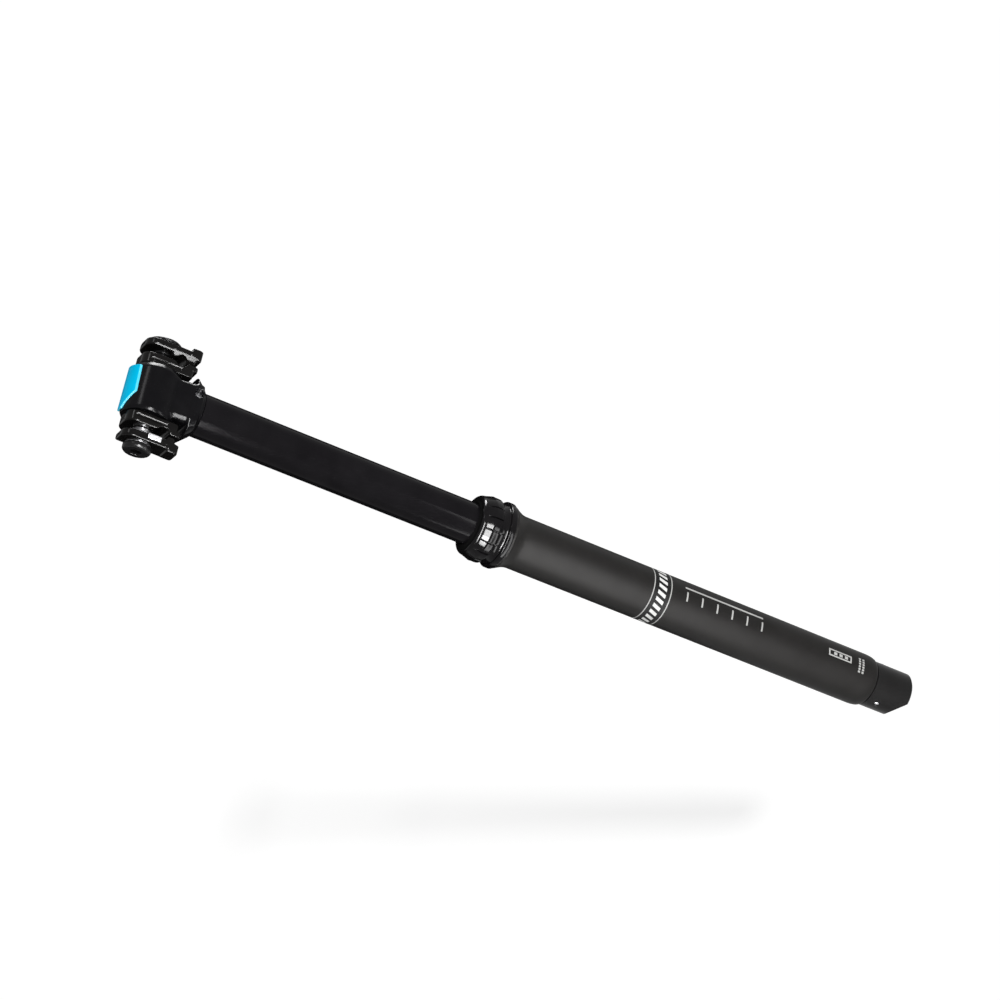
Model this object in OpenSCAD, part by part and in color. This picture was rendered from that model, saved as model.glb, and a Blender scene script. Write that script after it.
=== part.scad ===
// Dropper seatpost: a telescoping post whose saddle clamp drops on a gas spring.
// Millimetres. +Z runs up the post to the saddle, X across the bicycle, -Y is the side that is seen.
// The origin lies on the post's axis, where the lower tube's straight outside ends under its flare.

/* [Lower tube] */
// Outside diameter of the lower tube, which the frame's seat tube holds
tube_d = 31.6; // [30.9:0.1:34]
// Length of the straight lower tube
tube_len = 245; // [244:0.5:300]
// Wall of the lower tube
tube_wall = 2.2; // [2:0.1:2.4]
// Height of the flare at the top
flare_h = 9.8; // [7:0.1:14]
// Distance by which the flare stands out from the tube
flare_out = 3.1; // [2.4:0.1:4]
// Height over which the lower end is rounded in
end_round_h = 6.5; // [3:0.5:10]
// Depth of the rounding at the very end
end_round_in = 1.4; // [0.8:0.1:1.5]

/* [Travel] */
// Travel of the saddle
travel = 170; // [100:5:175]
// Length of inner tube that stays inside below the origin at full height
overlap = 60; // [56:1:64]

/* [Inner tube] */
// Wall of the bushings between the lower tube and the inner tube
bush_wall = 1.1; // [1:0.05:1.3]
// Wall of the inner tube
stanchion_wall = 1.6; // [1.5:0.1:1.8]
// Wall turned off the spigot that is bonded in the head
spigot_step = 0.9; // [0.7:0.1:1.1]
// Length of that spigot
spigot_len = 9; // [7:0.5:10]

/* [Collar] */
// Height of the collar above the flare
collar_h = 20.6; // [20:0.1:26]
// Distance by which the collar's lower flange stands out from the flare
collar_flange_out = 1; // [0.5:0.1:1.5]
// Thickness of the lower flange
collar_flange_h = 3.7; // [3:0.1:5]
// Distance by which the ribbed upper band stands out from the flare
collar_band_out = 0.5; // [0.2:0.1:1]
// Depth of the groove between flange and band, from the flare's edge
collar_groove_in = 0.9; // [0.5:0.1:1.3]
// Width of that groove
collar_groove_h = 4.6; // [3:0.1:5]
// Depth to which the band's top edge is rounded
collar_round_in = 4; // [2:0.1:4]
// Height over which it is rounded
collar_round_h = 7.9; // [4:0.1:9]
// Number of notches round the band
collar_notches = 16; // [8:1:24]
// Diameter of the mill that cuts a notch
collar_notch_d = 5; // [3:0.1:6]
// Depth of a notch
collar_notch_depth = 1; // [0.5:0.1:1.4]
// Length of the collar's spigot in the tube
collar_spigot_len = 7.5; // [5:0.1:8]
// Wall of the tube round the collar's spigot
counter_wall = 0.6; // [0.6:0.05:0.9]
// Thickness of the wiper
wiper_t = 3.1; // [2.8:0.1:3.3]
// Height by which the wiper's lip stands out
wiper_lip = 0.8; // [0.4:0.1:1.5]

/* [Keys and bushings] */
// Number of brass keys
key_count = 3; // [2:1:4]
// Diameter of a key
key_d = 3; // [2.6:0.1:3.2]
// Length of a key
key_len = 12; // [8:0.5:14]
// Depth of the keys' centres inside the tube's bore
key_sink = 0.45; // [0.4:0.05:0.55]
// Length of the upper bushing
upper_bush_len = 22; // [14:0.5:22]
// Length of the lower bushing
lower_bush_len = 17; // [10:0.5:17]
// Wall taken from the inner tube to seat the lower bushing
bush_seat = 0.3; // [0.2:0.05:0.4]

/* [Gas cartridge] */
// Clearance round the cartridge in the inner tube
cart_gap = 0.3; // [0.3:0.05:0.5]
// Wall of the cartridge
cart_wall = 1.6; // [1.4:0.1:1.8]
// Distance from the origin up to the cartridge's top end
cart_top = 196; // [190:0.5:198]
// Diameter of the piston rod
rod_d = 8; // [7:0.1:9]
// Bore of the piston rod
rod_bore_d = 2.8; // [2.4:0.1:3.4]
// Length of the main piston
piston_len = 10; // [8:0.5:12]
// Length of the floating piston
float_len = 8; // [7:0.5:10]
// Height of the floating piston at full height
float_z = 116; // [114:0.5:122]
// Diameter of the valve pin
valve_pin_d = 2; // [1.6:0.1:2.2]

/* [Actuator] */
// Depth of the actuator housing's outside below the tube's
housing_in = 1.8; // [1.3:0.1:2.2]
// Length of the housing below the tube
housing_len = 26.7; // [24:0.1:30]
// Length of the housing's spigot in the tube
housing_spigot_len = 11; // [10:0.5:12]
// Diameter of the lever's pivot pin
pivot_d = 3; // [2.5:0.1:3.2]
// Distance of the pivot from the axis, towards the cable
pivot_y = 4.5; // [4.2:0.1:4.8]
// Distance of the pivot below the tube's end
pivot_drop = 8; // [7:0.1:9]
// Distance of the cable from the housing's outside
cable_edge = 3.7; // [3.6:0.1:4]
// Thickness of the lever
lever_t = 5; // [4:0.1:5.4]
// Outside diameter of the cable housing
cable_d = 5.1; // [4.9:0.1:5.2]
// Depth of the cable housing's socket
cable_socket = 6; // [4:0.5:7]

/* [Saddle head] */
// Height of the clamp bolt above the head's lower edge
bolt_rise = 27.5; // [27:0.5:32]
// Diameter of the head's cross barrel
barrel_d = 28.5; // [26:0.5:29]
// Length of the barrel
barrel_len = 29; // [27:0.5:31]
// Wall of the neck outside the spigot at its lower edge
neck_wall = 0.9; // [0.8:0.1:1.3]
// Reach of the shoulders to each side
shoulder_x = 18.5; // [16:0.5:18.5]
// Depth of the neck's front and back faces from the axis
neck_y = 12.5; // [12:0.1:13]
// Thickness of the top plate
top_plate_t = 1.2; // [0.8:0.1:2]

/* [Rail clamp] */
// Diameter of a saddle rail
rail_d = 7; // [7:0.1:7.4]
// Distance between the two rails
rail_spacing = 45; // [44:0.5:46]
// Height of the bolt above the rails
rail_drop = 9.2; // [9:0.1:11]
// Half length of the clamp along the rails
clamp_half_y = 10; // [9:0.5:11]
// Height of the bolt above the clamp's lower edge
clamp_low = 17.4; // [17:0.1:19]
// Height of the clamp's top above the bolt
clamp_rise = 11.8; // [10.5:0.1:12.5]
// Distance by which the cradle's foot hangs below the cheek
foot_drop = 2.2; // [1:0.1:3]
// Thickness of the outer cheek beyond the rail
cheek_t = 4.2; // [3:0.1:4.5]
// Gap that is left between cradle and cheek
jaw_gap = 1.2; // [0.8:0.1:2]
// Diameter of the clamp bolt
bolt_d = 7; // [6:0.1:8]
// Diameter of the bolt's head
bolt_head_d = 16; // [14:0.5:18]
// Thickness of the bolt's head
bolt_head_h = 3.6; // [3:0.1:6]
// Diameter of the nut's flange
nut_d = 19.5; // [16:0.5:20]
// Thickness of that flange
nut_t = 1.5; // [1.2:0.1:3]
// Length of the nut's sleeve in the cheek
nut_sleeve_len = 6; // [3:0.1:6.5]
// Thickness of a washer
washer_t = 0.8; // [0.6:0.1:2]

/* [Clearances] */
// Radial clearance of a running or sliding fit
run_fit = 0.05; // [0.02:0.01:0.08]
// Radial clearance of a piece that is fixed in another
seat_fit = 0.03; // [0.01:0.01:0.05]
// Clearance of pieces that pass one another
pass_gap = 0.3; // [0.3:0.05:0.5]

/* [Hidden] */
$fn = 96;
eps = 0.01;

// Radii, from the lower tube inwards
tube_r = tube_d / 2;
bore_r = tube_r - tube_wall;
stanchion_r = bore_r - bush_wall;
stanchion_bore_r = stanchion_r - stanchion_wall;
spigot_r = stanchion_r - spigot_step;
cart_r = stanchion_bore_r - cart_gap;
cart_bore_r = cart_r - cart_wall;
rod_r = rod_d / 2;
key_rad = key_d / 2;
key_r = bore_r - key_sink;
flare_r = tube_r + flare_out;
housing_r = tube_r - housing_in;

collar_top = flare_h + collar_h;
drop_gap = 1;
neck_z = collar_top + wiper_lip + drop_gap + travel;
bolt_z = neck_z + bolt_rise;
stanchion_low = -overlap;
tube_low = -tube_len;

// The counterbore in the flare takes the collar's spigot and the upper bushing's rim
counter_r = tube_r - counter_wall;
bush_rim_h = 0.8;
counter_low = flare_h - collar_spigot_len - bush_rim_h;
bush_low = counter_low - upper_bush_len;

// Keys sit under the upper bushing with the top-out bumper between them
bumper_t = 3.2;
key_top = bush_low - bumper_t - pass_gap;
key_low = key_top - key_len;
keyway_spare = 4;
keyway_low = key_low - travel - keyway_spare;

// The lower bushing lies between the keys and the end of the inner tube
bush_foot = 3;
lower_bush_top = min(key_low - 1, stanchion_low + bush_foot + lower_bush_len);
lower_bush_low = lower_bush_top - lower_bush_len;
bush_seat_r = stanchion_r - bush_seat;

// The cartridge is kept in the inner tube by a ring in a groove
ring_t = 1.2;
ring_low = stanchion_low + ring_t;
ring_groove_r = stanchion_bore_r + 0.5;
guide_low = ring_low + ring_t;
guide_flange_h = 2.8;
guide_len = 12;
guide_top = guide_low + guide_flange_h + guide_len;
cart_low = guide_low + guide_flange_h;
cap_h = 10;
cap_low = cart_top - cap_h;
step_r = cart_bore_r;

// The rod and its piston stand on the actuator housing
spigot_top = tube_low + housing_spigot_len;
rod_foot = 4;
rod_low = tube_low + rod_foot;
piston_rest = 3;
piston_low = guide_top + piston_rest;
piston_top = piston_low + piston_len;

bottom_bumper_t = 3;
housing_low = tube_low - housing_len;
pivot_z = tube_low - pivot_drop;
cable_y = cable_edge - housing_r;
lever_slot_w = lever_t + 0.8;
lever_tip_r = 2;
valve_pad_t = 1.5;
valve_pad_r = 1.8;
valve_low = pivot_z + lever_tip_r + run_fit;
valve_seat_gap = 0.1;
valve_head_h = 2;

// Clamp pieces, outwards from the barrel
rail_x = rail_spacing / 2;
rail_r = rail_d / 2;
rail_z = bolt_z - rail_drop;
cradle_in = barrel_len / 2;
cradle_out = rail_x - jaw_gap / 2;
cradle_face = rail_x - rail_r;
cheek_in = rail_x + rail_r;
cheek_out = cheek_in + cheek_t;
washer_out = cheek_out + washer_t;
bolt_head_out = washer_out + bolt_head_h;
bolt_r = bolt_d / 2;
sleeve_r = bolt_r + 1.4;

// A ring about Z from z0 to z1
module ring(r_out, r_in, z0, z1) {
    translate([0, 0, z0]) difference() {
        cylinder(r = r_out, h = z1 - z0);
        translate([0, 0, -eps]) cylinder(r = r_in, h = z1 - z0 + 2 * eps);
    }
}

// A disc about Z from z0 to z1
module disc(r, z0, z1) {
    translate([0, 0, z0]) cylinder(r = r, h = z1 - z0);
}

// A disc about X from x0 to x1, at a height and a depth
module disc_x(r, x0, x1, y, z) {
    translate([x0, y, z]) rotate([0, 90, 0]) cylinder(r = r, h = x1 - x0);
}

// A disc about Y from y0 to y1
module disc_y(r, y0, y1, x, z) {
    translate([x, y1, z]) rotate([90, 0, 0]) cylinder(r = r, h = y1 - y0);
}

// Outline of the lower tube: flare at the top, rounding at the low end
flare_edge = 0.86;
function flare_point(t) = [tube_r + flare_out * (1 - cos(90 * t)), flare_h * flare_edge * t];
function end_point(t) = [tube_r - end_round_in * (1 - sin(90 * t)),
    tube_low + end_round_h * (1 - cos(90 * t))];

module outer_tube() {
    color([0.16, 0.16, 0.16]) difference() {
        rotate_extrude() polygon(concat(
            [[bore_r, tube_low]],
            [for (i = [0:6]) end_point(i / 6)],
            [for (i = [0:7]) flare_point(i / 7)],
            [[flare_r, flare_h], [counter_r, flare_h], [counter_r, counter_low],
                [bore_r, counter_low]]));
        for (k = [0:key_count - 1]) rotate([0, 0, 90 + 360 / key_count * k])
            translate([key_r, 0, keyway_low])
                cylinder(r = key_rad + run_fit, h = counter_low - keyway_low + eps);
    }
}

collar_edge = 0.7;
band_low = flare_h + collar_flange_h + collar_groove_h;
band_dome = 1.1;
band_edge = 1.1;
// The rounding of the band's top edge stops short of level
band_turn = 78;
wiper_h = 5;
wiper_shoulder = 2;
wiper_seat_r = stanchion_r + wiper_t;
wiper_low = collar_top - wiper_h;
foam_t = 4.3;
foam_low = wiper_low - foam_t - pass_gap;

function band_point(r, t) = [r - collar_round_in * (1 - cos(band_turn * t)),
    collar_top - collar_round_h * (1 - sin(band_turn * t))];

module seal_collar() {
    flange_r = flare_r + collar_flange_out;
    groove_r = flare_r - collar_groove_in;
    band_r = flare_r + collar_band_out;
    flange_top = flare_h + collar_flange_h;
    inner_r = stanchion_r + pass_gap + 0.1;
    spigot_low = flare_h - collar_spigot_len;
    color([0.05, 0.05, 0.055]) difference() {
        rotate_extrude() polygon(concat([
            [inner_r, spigot_low], [counter_r - run_fit, spigot_low],
            [counter_r - run_fit, flare_h], [flange_r - collar_edge, flare_h],
            [flange_r, flare_h + collar_edge], [flange_r, flange_top - collar_edge],
            [flange_r - collar_edge, flange_top], [groove_r, flange_top + 0.5],
            [groove_r, band_low - 0.6], [band_r - band_dome, band_low - 0.1],
            [band_r - 0.2, band_low + band_edge]],
            [for (i = [0:6]) band_point(band_r, i / 6)],
            [[wiper_seat_r, collar_top], [wiper_seat_r, foam_low], [inner_r, foam_low]]));
        for (k = [0:collar_notches - 1]) rotate([0, 0, 360 / collar_notches * (k + 0.5)])
            translate([band_r + collar_notch_d / 2 - collar_notch_depth, 0, band_low - 1])
                cylinder(d = collar_notch_d, h = collar_h, $fn = 32);
    }
}

module wiper_seal() {
    lip_r = stanchion_r + run_fit;
    color([0.07, 0.07, 0.07]) rotate_extrude() polygon([
        [lip_r + 0.6, wiper_low], [wiper_seat_r - seat_fit, wiper_low],
        [wiper_seat_r - seat_fit, collar_top], [lip_r + wiper_shoulder, collar_top],
        [lip_r + 0.8, collar_top + wiper_lip], [lip_r, collar_top + wiper_lip - 0.3],
        [lip_r, collar_top - 1.5]]);
}

module foam_ring() {
    color([0.3, 0.3, 0.28]) ring(wiper_seat_r - seat_fit, stanchion_r + pass_gap, foam_low, foam_low + foam_t);
}

module upper_bushing() {
    color([0.55, 0.56, 0.5]) union() {
        ring(bore_r - seat_fit, stanchion_r + run_fit, bush_low, counter_low + eps);
        ring(counter_r - seat_fit, stanchion_r + run_fit, counter_low, counter_low + bush_rim_h);
    }
}

// Pockets or keys at the keys' places
module at_keys() {
    for (k = [0:key_count - 1]) rotate([0, 0, 90 + 360 / key_count * k]) translate([key_r, 0, 0]) children();
}

module stanchion() {
    color([0.04, 0.04, 0.045]) difference() {
        rotate_extrude() polygon([
            [stanchion_bore_r, stanchion_low], [stanchion_r - 0.8, stanchion_low],
            [stanchion_r - 0.3, stanchion_low + 0.5], [stanchion_r - 0.3, lower_bush_low],
            [bush_seat_r, lower_bush_low], [bush_seat_r, lower_bush_top],
            [stanchion_r, lower_bush_top], [stanchion_r, neck_z], [spigot_r, neck_z],
            [spigot_r, neck_z + spigot_len], [step_r, neck_z + spigot_len],
            [step_r, cart_top], [stanchion_bore_r, cart_top],
            [stanchion_bore_r, guide_low], [ring_groove_r, guide_low],
            [ring_groove_r, ring_low], [stanchion_bore_r, ring_low]]);
        at_keys() translate([0, 0, key_low]) cylinder(r = key_rad + seat_fit, h = key_len);
    }
}

module lower_bushing() {
    split_w = 1;
    color([0.55, 0.56, 0.5]) difference() {
        ring(bore_r - run_fit, bush_seat_r + seat_fit, lower_bush_low, lower_bush_top);
        translate([0, -split_w / 2, lower_bush_low - eps])
            cube([bore_r + 1, split_w, lower_bush_len + 2 * eps]);
    }
}

module alignment_keys() {
    color([0.8, 0.65, 0.3]) at_keys() disc(key_rad, key_low, key_top);
}

module top_out_bumper() {
    color([0.2, 0.2, 0.2]) ring(bore_r - pass_gap, stanchion_r + seat_fit, key_top, key_top + bumper_t);
}

module bottom_out_bumper() {
    color([0.2, 0.2, 0.2]) ring(stanchion_r, 2 * rod_r, spigot_top, spigot_top + bottom_bumper_t);
}

module retaining_ring() {
    gap_w = 6;
    color([0.6, 0.6, 0.6]) difference() {
        ring(ring_groove_r - seat_fit, cart_bore_r + 0.6, ring_low, ring_low + ring_t);
        translate([0, -gap_w / 2, ring_low - eps]) cube([ring_groove_r + 1, gap_w, ring_t + 2 * eps]);
    }
}

rod_seal_h = 3;
rod_seal_low = guide_low + guide_len / 2;
rod_seal_r = rod_r + 2;

module rod_guide() {
    color([0.75, 0.76, 0.78]) difference() {
        union() {
            disc(stanchion_bore_r - run_fit, guide_low, cart_low);
            disc(cart_bore_r - seat_fit, cart_low - eps, guide_top);
        }
        disc(rod_r + run_fit, guide_low - 1, guide_top + 1);
        disc(rod_seal_r, rod_seal_low, rod_seal_low + rod_seal_h);
    }
}

module rod_seal() {
    color([0.1, 0.1, 0.1]) ring(rod_seal_r - seat_fit, rod_r + run_fit, rod_seal_low, rod_seal_low + rod_seal_h);
}

module cartridge_tube() {
    color([0.7, 0.71, 0.73]) ring(cart_r, cart_bore_r, cart_low, cap_low);
}

valve_body_r = 3;

module cartridge_cap() {
    color([0.72, 0.72, 0.75]) difference() {
        union() {
            disc(cart_r, cap_low, cart_top);
            disc(cart_bore_r - seat_fit, cap_low - 4, cap_low + eps);
        }
        disc(valve_body_r, cap_low - 5, cart_top + 1);
    }
}

module fill_valve() {
    valve_h = 8;
    valve_rim = 1.2;
    valve_rim_h = 2;
    valve_neck = 0.6;
    color([0.75, 0.62, 0.3]) union() {
        disc(valve_body_r - seat_fit, cap_low - 4, cart_top);
        disc(valve_body_r + valve_rim, cart_top, cart_top + valve_rim_h);
        disc(valve_body_r - valve_neck, cart_top + valve_rim_h - eps, cart_top + valve_h);
    }
}

float_groove_h = 2.4;
float_seal_low = float_z + float_len / 2 - float_groove_h / 2;
float_groove_r = cart_bore_r - 1.8;
float_wall = 4;
float_floor = 5.5;

module floating_piston() {
    color([0.8, 0.8, 0.82]) difference() {
        disc(cart_bore_r - 2 * run_fit, float_z, float_z + float_len);
        ring(cart_bore_r + 1, float_groove_r, float_seal_low, float_seal_low + float_groove_h);
        disc(cart_bore_r - float_wall, float_z + float_floor, float_z + float_len + 1);
    }
}

module floating_piston_seal() {
    color([0.1, 0.1, 0.1]) ring(cart_bore_r - run_fit, float_groove_r + seat_fit, float_seal_low,
        float_seal_low + float_groove_h);
}

module piston_rod() {
    color([0.78, 0.78, 0.8]) ring(rod_r, rod_bore_d / 2, rod_low, piston_top);
}

piston_groove_h = 3;
piston_seal_low = piston_low + piston_len / 2 - piston_groove_h / 2;
piston_groove_r = cart_bore_r - 2;

module main_piston() {
    color([0.7, 0.7, 0.72]) difference() {
        ring(cart_bore_r - pass_gap, rod_r + seat_fit, piston_low, piston_top);
        ring(cart_bore_r + 1, piston_groove_r, piston_seal_low, piston_seal_low + piston_groove_h);
    }
}

module piston_seal() {
    color([0.1, 0.1, 0.1]) ring(cart_bore_r - run_fit, piston_groove_r + seat_fit, piston_seal_low,
        piston_seal_low + piston_groove_h);
}

module valve_pin() {
    color([0.8, 0.8, 0.82]) union() {
        disc(valve_pad_r, valve_low, valve_low + valve_pad_t);
        disc(valve_pin_d / 2, valve_low + valve_pad_t - eps, piston_top + valve_seat_gap + eps);
        disc(rod_bore_d / 2 + 1, piston_top + valve_seat_gap, piston_top + valve_seat_gap + valve_head_h);
    }
}

hub_wall = 1.7;
hub_r = pivot_d / 2 + hub_wall;
barrel_pin_r = 1.5;
barrel_wall = 0.9;
lever_h = 3.2;
toe_len = 3;
toe_drop = 0.6;
pocket_low = pivot_z - hub_r - 2.8;
pocket_top = pivot_z + hub_r + 0.8;
pocket_y0 = cable_y - barrel_pin_r - barrel_wall - 0.2;
pocket_y1 = toe_len + 1;
pad_room_top = tube_low + 1;
cable_bore_r = 1.2;
housing_groove_h = 1;
housing_groove_in = 0.9;
slant_rise = 7.5;
slant_run = 5.5;
oring_z = tube_low + housing_spigot_len * 0.6;
oring_groove_h = 2;
oring_groove_r = bore_r - 1.4;

module actuator_housing() {
    plug_r = bore_r - seat_fit;
    groove_r = housing_r - housing_groove_in;
    color([0.08, 0.08, 0.085]) difference() {
        rotate_extrude() polygon([
            [0, housing_low], [housing_r - 1, housing_low], [housing_r, housing_low + 1],
            [housing_r, tube_low - housing_groove_h], [groove_r, tube_low - housing_groove_h],
            [groove_r, tube_low], [plug_r, tube_low], [plug_r, spigot_top - 0.5],
            [plug_r - 0.5, spigot_top], [0, spigot_top]]);
        // The lever swings in this pocket, and the valve pin's pad rises above it
        translate([-lever_slot_w / 2, pocket_y0, pocket_low])
            cube([lever_slot_w, pocket_y1 - pocket_y0, pocket_top - pocket_low]);
        disc(valve_pad_r + pass_gap, pocket_top - 1, pad_room_top);
        // The rod stands in a bore, over a narrower one for the valve pin
        disc(rod_r, rod_low, spigot_top + 1);
        disc(valve_pin_d / 2 + pass_gap, pad_room_top - 1, rod_low + 1);
        // Bore of the pivot pin
        disc_x(pivot_d / 2, -housing_r, housing_r, -pivot_y, pivot_z);
        // The cable housing's socket, over a narrower bore for the bare cable
        translate([0, cable_y, housing_low - 1]) cylinder(r = cable_d / 2, h = cable_socket + 1);
        translate([0, cable_y, housing_low]) cylinder(r = cable_bore_r, h = pocket_low - housing_low + 1);
        ring(bore_r + 1, oring_groove_r, oring_z, oring_z + oring_groove_h);
        // Slanted cut across the low corner on the left side
        translate([0, housing_r + 1, 0]) rotate([90, 0, 0]) linear_extrude(height = 2 * housing_r + 2)
            polygon([[-housing_r - 1, housing_low + slant_rise + 1], [-housing_r - 1, housing_low - 1],
                [slant_run - housing_r + 1, housing_low - 1]]);
    }
}

module housing_oring() {
    color([0.08, 0.08, 0.08]) ring(bore_r - seat_fit, oring_groove_r + seat_fit, oring_z,
        oring_z + oring_groove_h);
}

module actuator_lever() {
    color([0.65, 0.66, 0.68]) difference() {
        union() {
            disc_x(hub_r, -lever_t / 2, lever_t / 2, -pivot_y, pivot_z);
            disc_x(lever_tip_r, -lever_t / 2, lever_t / 2, 0, pivot_z);
            disc_x(barrel_pin_r + barrel_wall, -lever_t / 2, lever_t / 2, cable_y, pivot_z);
            translate([-lever_t / 2, cable_y, pivot_z - lever_h / 2]) cube([lever_t, -cable_y, lever_h]);
            // The toe beyond the tip is a little lower
            translate([-lever_t / 2, -eps, pivot_z - lever_h / 2])
                cube([lever_t, toe_len + eps, lever_h - toe_drop]);
        }
        disc_x(pivot_d / 2 + run_fit, -lever_t, lever_t, -pivot_y, pivot_z);
        disc_x(barrel_pin_r + seat_fit, -lever_t, lever_t, cable_y, pivot_z);
        translate([-1, cable_y - 4, pivot_z - 4]) cube([2, 4, 8]);
    }
}

module lever_pivot() {
    half = sqrt(pow(housing_r, 2) - pow(pivot_y, 2)) - 0.15;
    color([0.8, 0.8, 0.82]) disc_x(pivot_d / 2, -half, half, -pivot_y, pivot_z);
}

module cable_barrel() {
    color([0.8, 0.65, 0.3]) difference() {
        disc_x(barrel_pin_r, -lever_t / 2, lever_t / 2, cable_y, pivot_z);
        translate([0, cable_y, pivot_z - 3]) cylinder(r = 0.8, h = 6);
    }
}

neck_r = spigot_r + neck_wall;
shoulder_gap = 3.4;
shoulder_z = bolt_z - clamp_low - shoulder_gap;
grub_z = neck_z + 5;
grub_r = 2;
grub_dir = 62;

// The forged head: a round neck that spreads into shoulders and carries the cross barrel
module head() {
    barrel_r = barrel_d / 2;
    block_x = cradle_in - 0.7;
    chamfer = 0.9;
    neck_rim = 0.5;
    shoulder_t = 0.8;
    color([0.05, 0.05, 0.055]) difference() {
        union() {
            hull() {
                disc(neck_r, neck_z, neck_z + neck_rim, $fn = 48);
                translate([-shoulder_x, 3 - neck_y, shoulder_z - shoulder_t])
                    cube([2 * shoulder_x, 2 * neck_y - 6, shoulder_t]);
                translate([-block_x, -neck_y, shoulder_z]) cube([2 * block_x, 2 * neck_y, 1]);
            }
            hull() {
                translate([-block_x, -neck_y, shoulder_z]) cube([2 * block_x, 2 * neck_y, 1]);
                translate([-block_x, -neck_y + 2.5, bolt_z]) cube([2 * block_x, 2 * neck_y - 5, 1]);
            }
            translate([-cradle_in, 0, bolt_z]) rotate([0, 90, 0]) rotate_extrude() polygon([
                [0, 0], [barrel_r - chamfer, 0], [barrel_r, chamfer],
                [barrel_r, barrel_len - chamfer], [barrel_r - chamfer, barrel_len], [0, barrel_len]]);
        }
        disc(spigot_r + seat_fit, neck_z - 1, neck_z + spigot_len);
        disc(step_r, neck_z, neck_z + spigot_len + 2);
        disc_x(bolt_r + run_fit, -cradle_in - 1, cradle_in + 1, 0, bolt_z);
        // Hole of the grub screw that locks the inner tube
        translate([0, 0, grub_z]) rotate([0, 0, -grub_dir])
            rotate([0, 90, 0]) cylinder(r = grub_r, h = 2 * neck_y, $fn = 24);
    }
}

module head_grub_screw() {
    color([0.7, 0.7, 0.72]) translate([0, 0, grub_z]) rotate([0, 0, -grub_dir]) rotate([0, 90, 0])
        translate([0, 0, spigot_r + seat_fit]) cylinder(r = grub_r - seat_fit, h = 1, $fn = 24);
}

// The plate is a sheet bent round the barrel's top, cut to a slanted outline
module top_plate() {
    barrel_r = barrel_d / 2;
    color([0.0, 0.72, 0.87]) intersection() {
        difference() {
            disc_x(barrel_r + top_plate_t, -cradle_in, cradle_in, 0, bolt_z);
            disc_x(barrel_r, -cradle_in - 1, cradle_in + 1, 0, bolt_z);
        }
        translate([0, 0, bolt_z + 5]) linear_extrude(height = 20)
            polygon([[-4.7, -9.6], [11.5, -8.9], [12.9, 4.5], [11.5, 9], [-9.5, 9], [-14.1, 3],
                [-14.1, -1.8]]);
    }
}

// Side outline of a clamp piece: round upper corners, straight sides, round lower corners
module clamp_outline(low) {
    corner = 2.5;
    top_corner = 6.5;
    hull() {
        for (s = [-1, 1]) translate([s * (clamp_half_y - top_corner), clamp_rise - top_corner])
            circle(r = top_corner, $fn = 64);
        for (s = [-1, 1]) translate([s * (clamp_half_y - corner), -low + corner]) circle(r = corner, $fn = 32);
    }
}

// Stands a side outline up between two distances from the middle plane
module side_plate(x0, x1, low = clamp_low) {
    translate([x0, 0, bolt_z]) rotate([90, 0, 90]) linear_extrude(height = x1 - x0) clamp_outline(low);
}

// The jaws' upper lips end a little short of the lower ones, so that a rail can be laid in
lip_over = 2.2;
lip_short = 1.5;

// Part of a side plate between two distances and two heights
module lip(x0, x1, z0, z1) {
    intersection() {
        side_plate(x0, x1, bolt_z - min(z0, bolt_z - clamp_low));
        translate([x0 - 1, -clamp_half_y - 1, z0]) cube([x1 - x0 + 2, 2 * clamp_half_y + 2, z1 - z0]);
    }
}

// Inner cradle of the right side, with half of the rail's groove between two lips
module cradle() {
    difference() {
        union() {
            side_plate(cradle_in, cradle_face);
            lip(cradle_face, cradle_out, bolt_z - clamp_low - foot_drop, rail_z);
            lip(cradle_face - 1, cradle_out, bolt_z - clamp_low, rail_z);
            lip(cradle_face - 1, cradle_out - lip_short, rail_z - 1, rail_z + rail_r + lip_over);
        }
        disc_y(rail_r, -20, 20, rail_x, rail_z);
        disc_x(bolt_r + seat_fit, cradle_in - 1, cradle_out + 1, 0, bolt_z);
    }
}

module clamp_inner_right() { color([0.06, 0.06, 0.065]) cradle(); }
module clamp_inner_left() { color([0.06, 0.06, 0.065]) mirror([1, 0, 0]) cradle(); }

// Outer cheek of the right side, which hooks round the rail and bulges at its foot
module cheek(hole_r) {
    jaw_in = rail_x + jaw_gap / 2;
    foot_x = 2.2;
    foot_top = 4.5;
    difference() {
        union() {
            side_plate(cheek_in, cheek_out);
            lip(jaw_in, cheek_in + 1, bolt_z - clamp_low, rail_z);
            lip(jaw_in + lip_short, cheek_in + 1, rail_z - 1, rail_z + rail_r + lip_over);
            lip(cheek_in, cheek_out + foot_x, bolt_z - clamp_low, rail_z - foot_top);
        }
        disc_y(rail_r, -20, 20, rail_x, rail_z);
        disc_x(hole_r + seat_fit, jaw_in - 1, cheek_out + foot_x + 1, 0, bolt_z);
    }
}

module clamp_outer_right() { color([0.06, 0.06, 0.065]) cheek(sleeve_r); }
module clamp_outer_left() { color([0.06, 0.06, 0.065]) mirror([1, 0, 0]) cheek(bolt_r); }

socket_af = 6;
socket_depth = 3.4;

module clamp_bolt() {
    head_r = bolt_head_d / 2;
    color([0.1, 0.1, 0.1]) difference() {
        union() {
            disc_x(bolt_r, -washer_out - eps, washer_out + nut_t / 2, 0, bolt_z);
            translate([-washer_out, 0, bolt_z]) rotate([0, -90, 0]) rotate_extrude() polygon([
                [0, 0], [head_r, 0], [head_r, bolt_head_h - 1.4], [head_r - 0.6, bolt_head_h - 0.5],
                [head_r - 1.8, bolt_head_h], [0, bolt_head_h]]);
        }
        translate([-bolt_head_out - 1, 0, bolt_z]) rotate([0, 90, 0])
            cylinder(d = socket_af / cos(30), h = socket_depth + 1, $fn = 6);
    }
}

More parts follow.
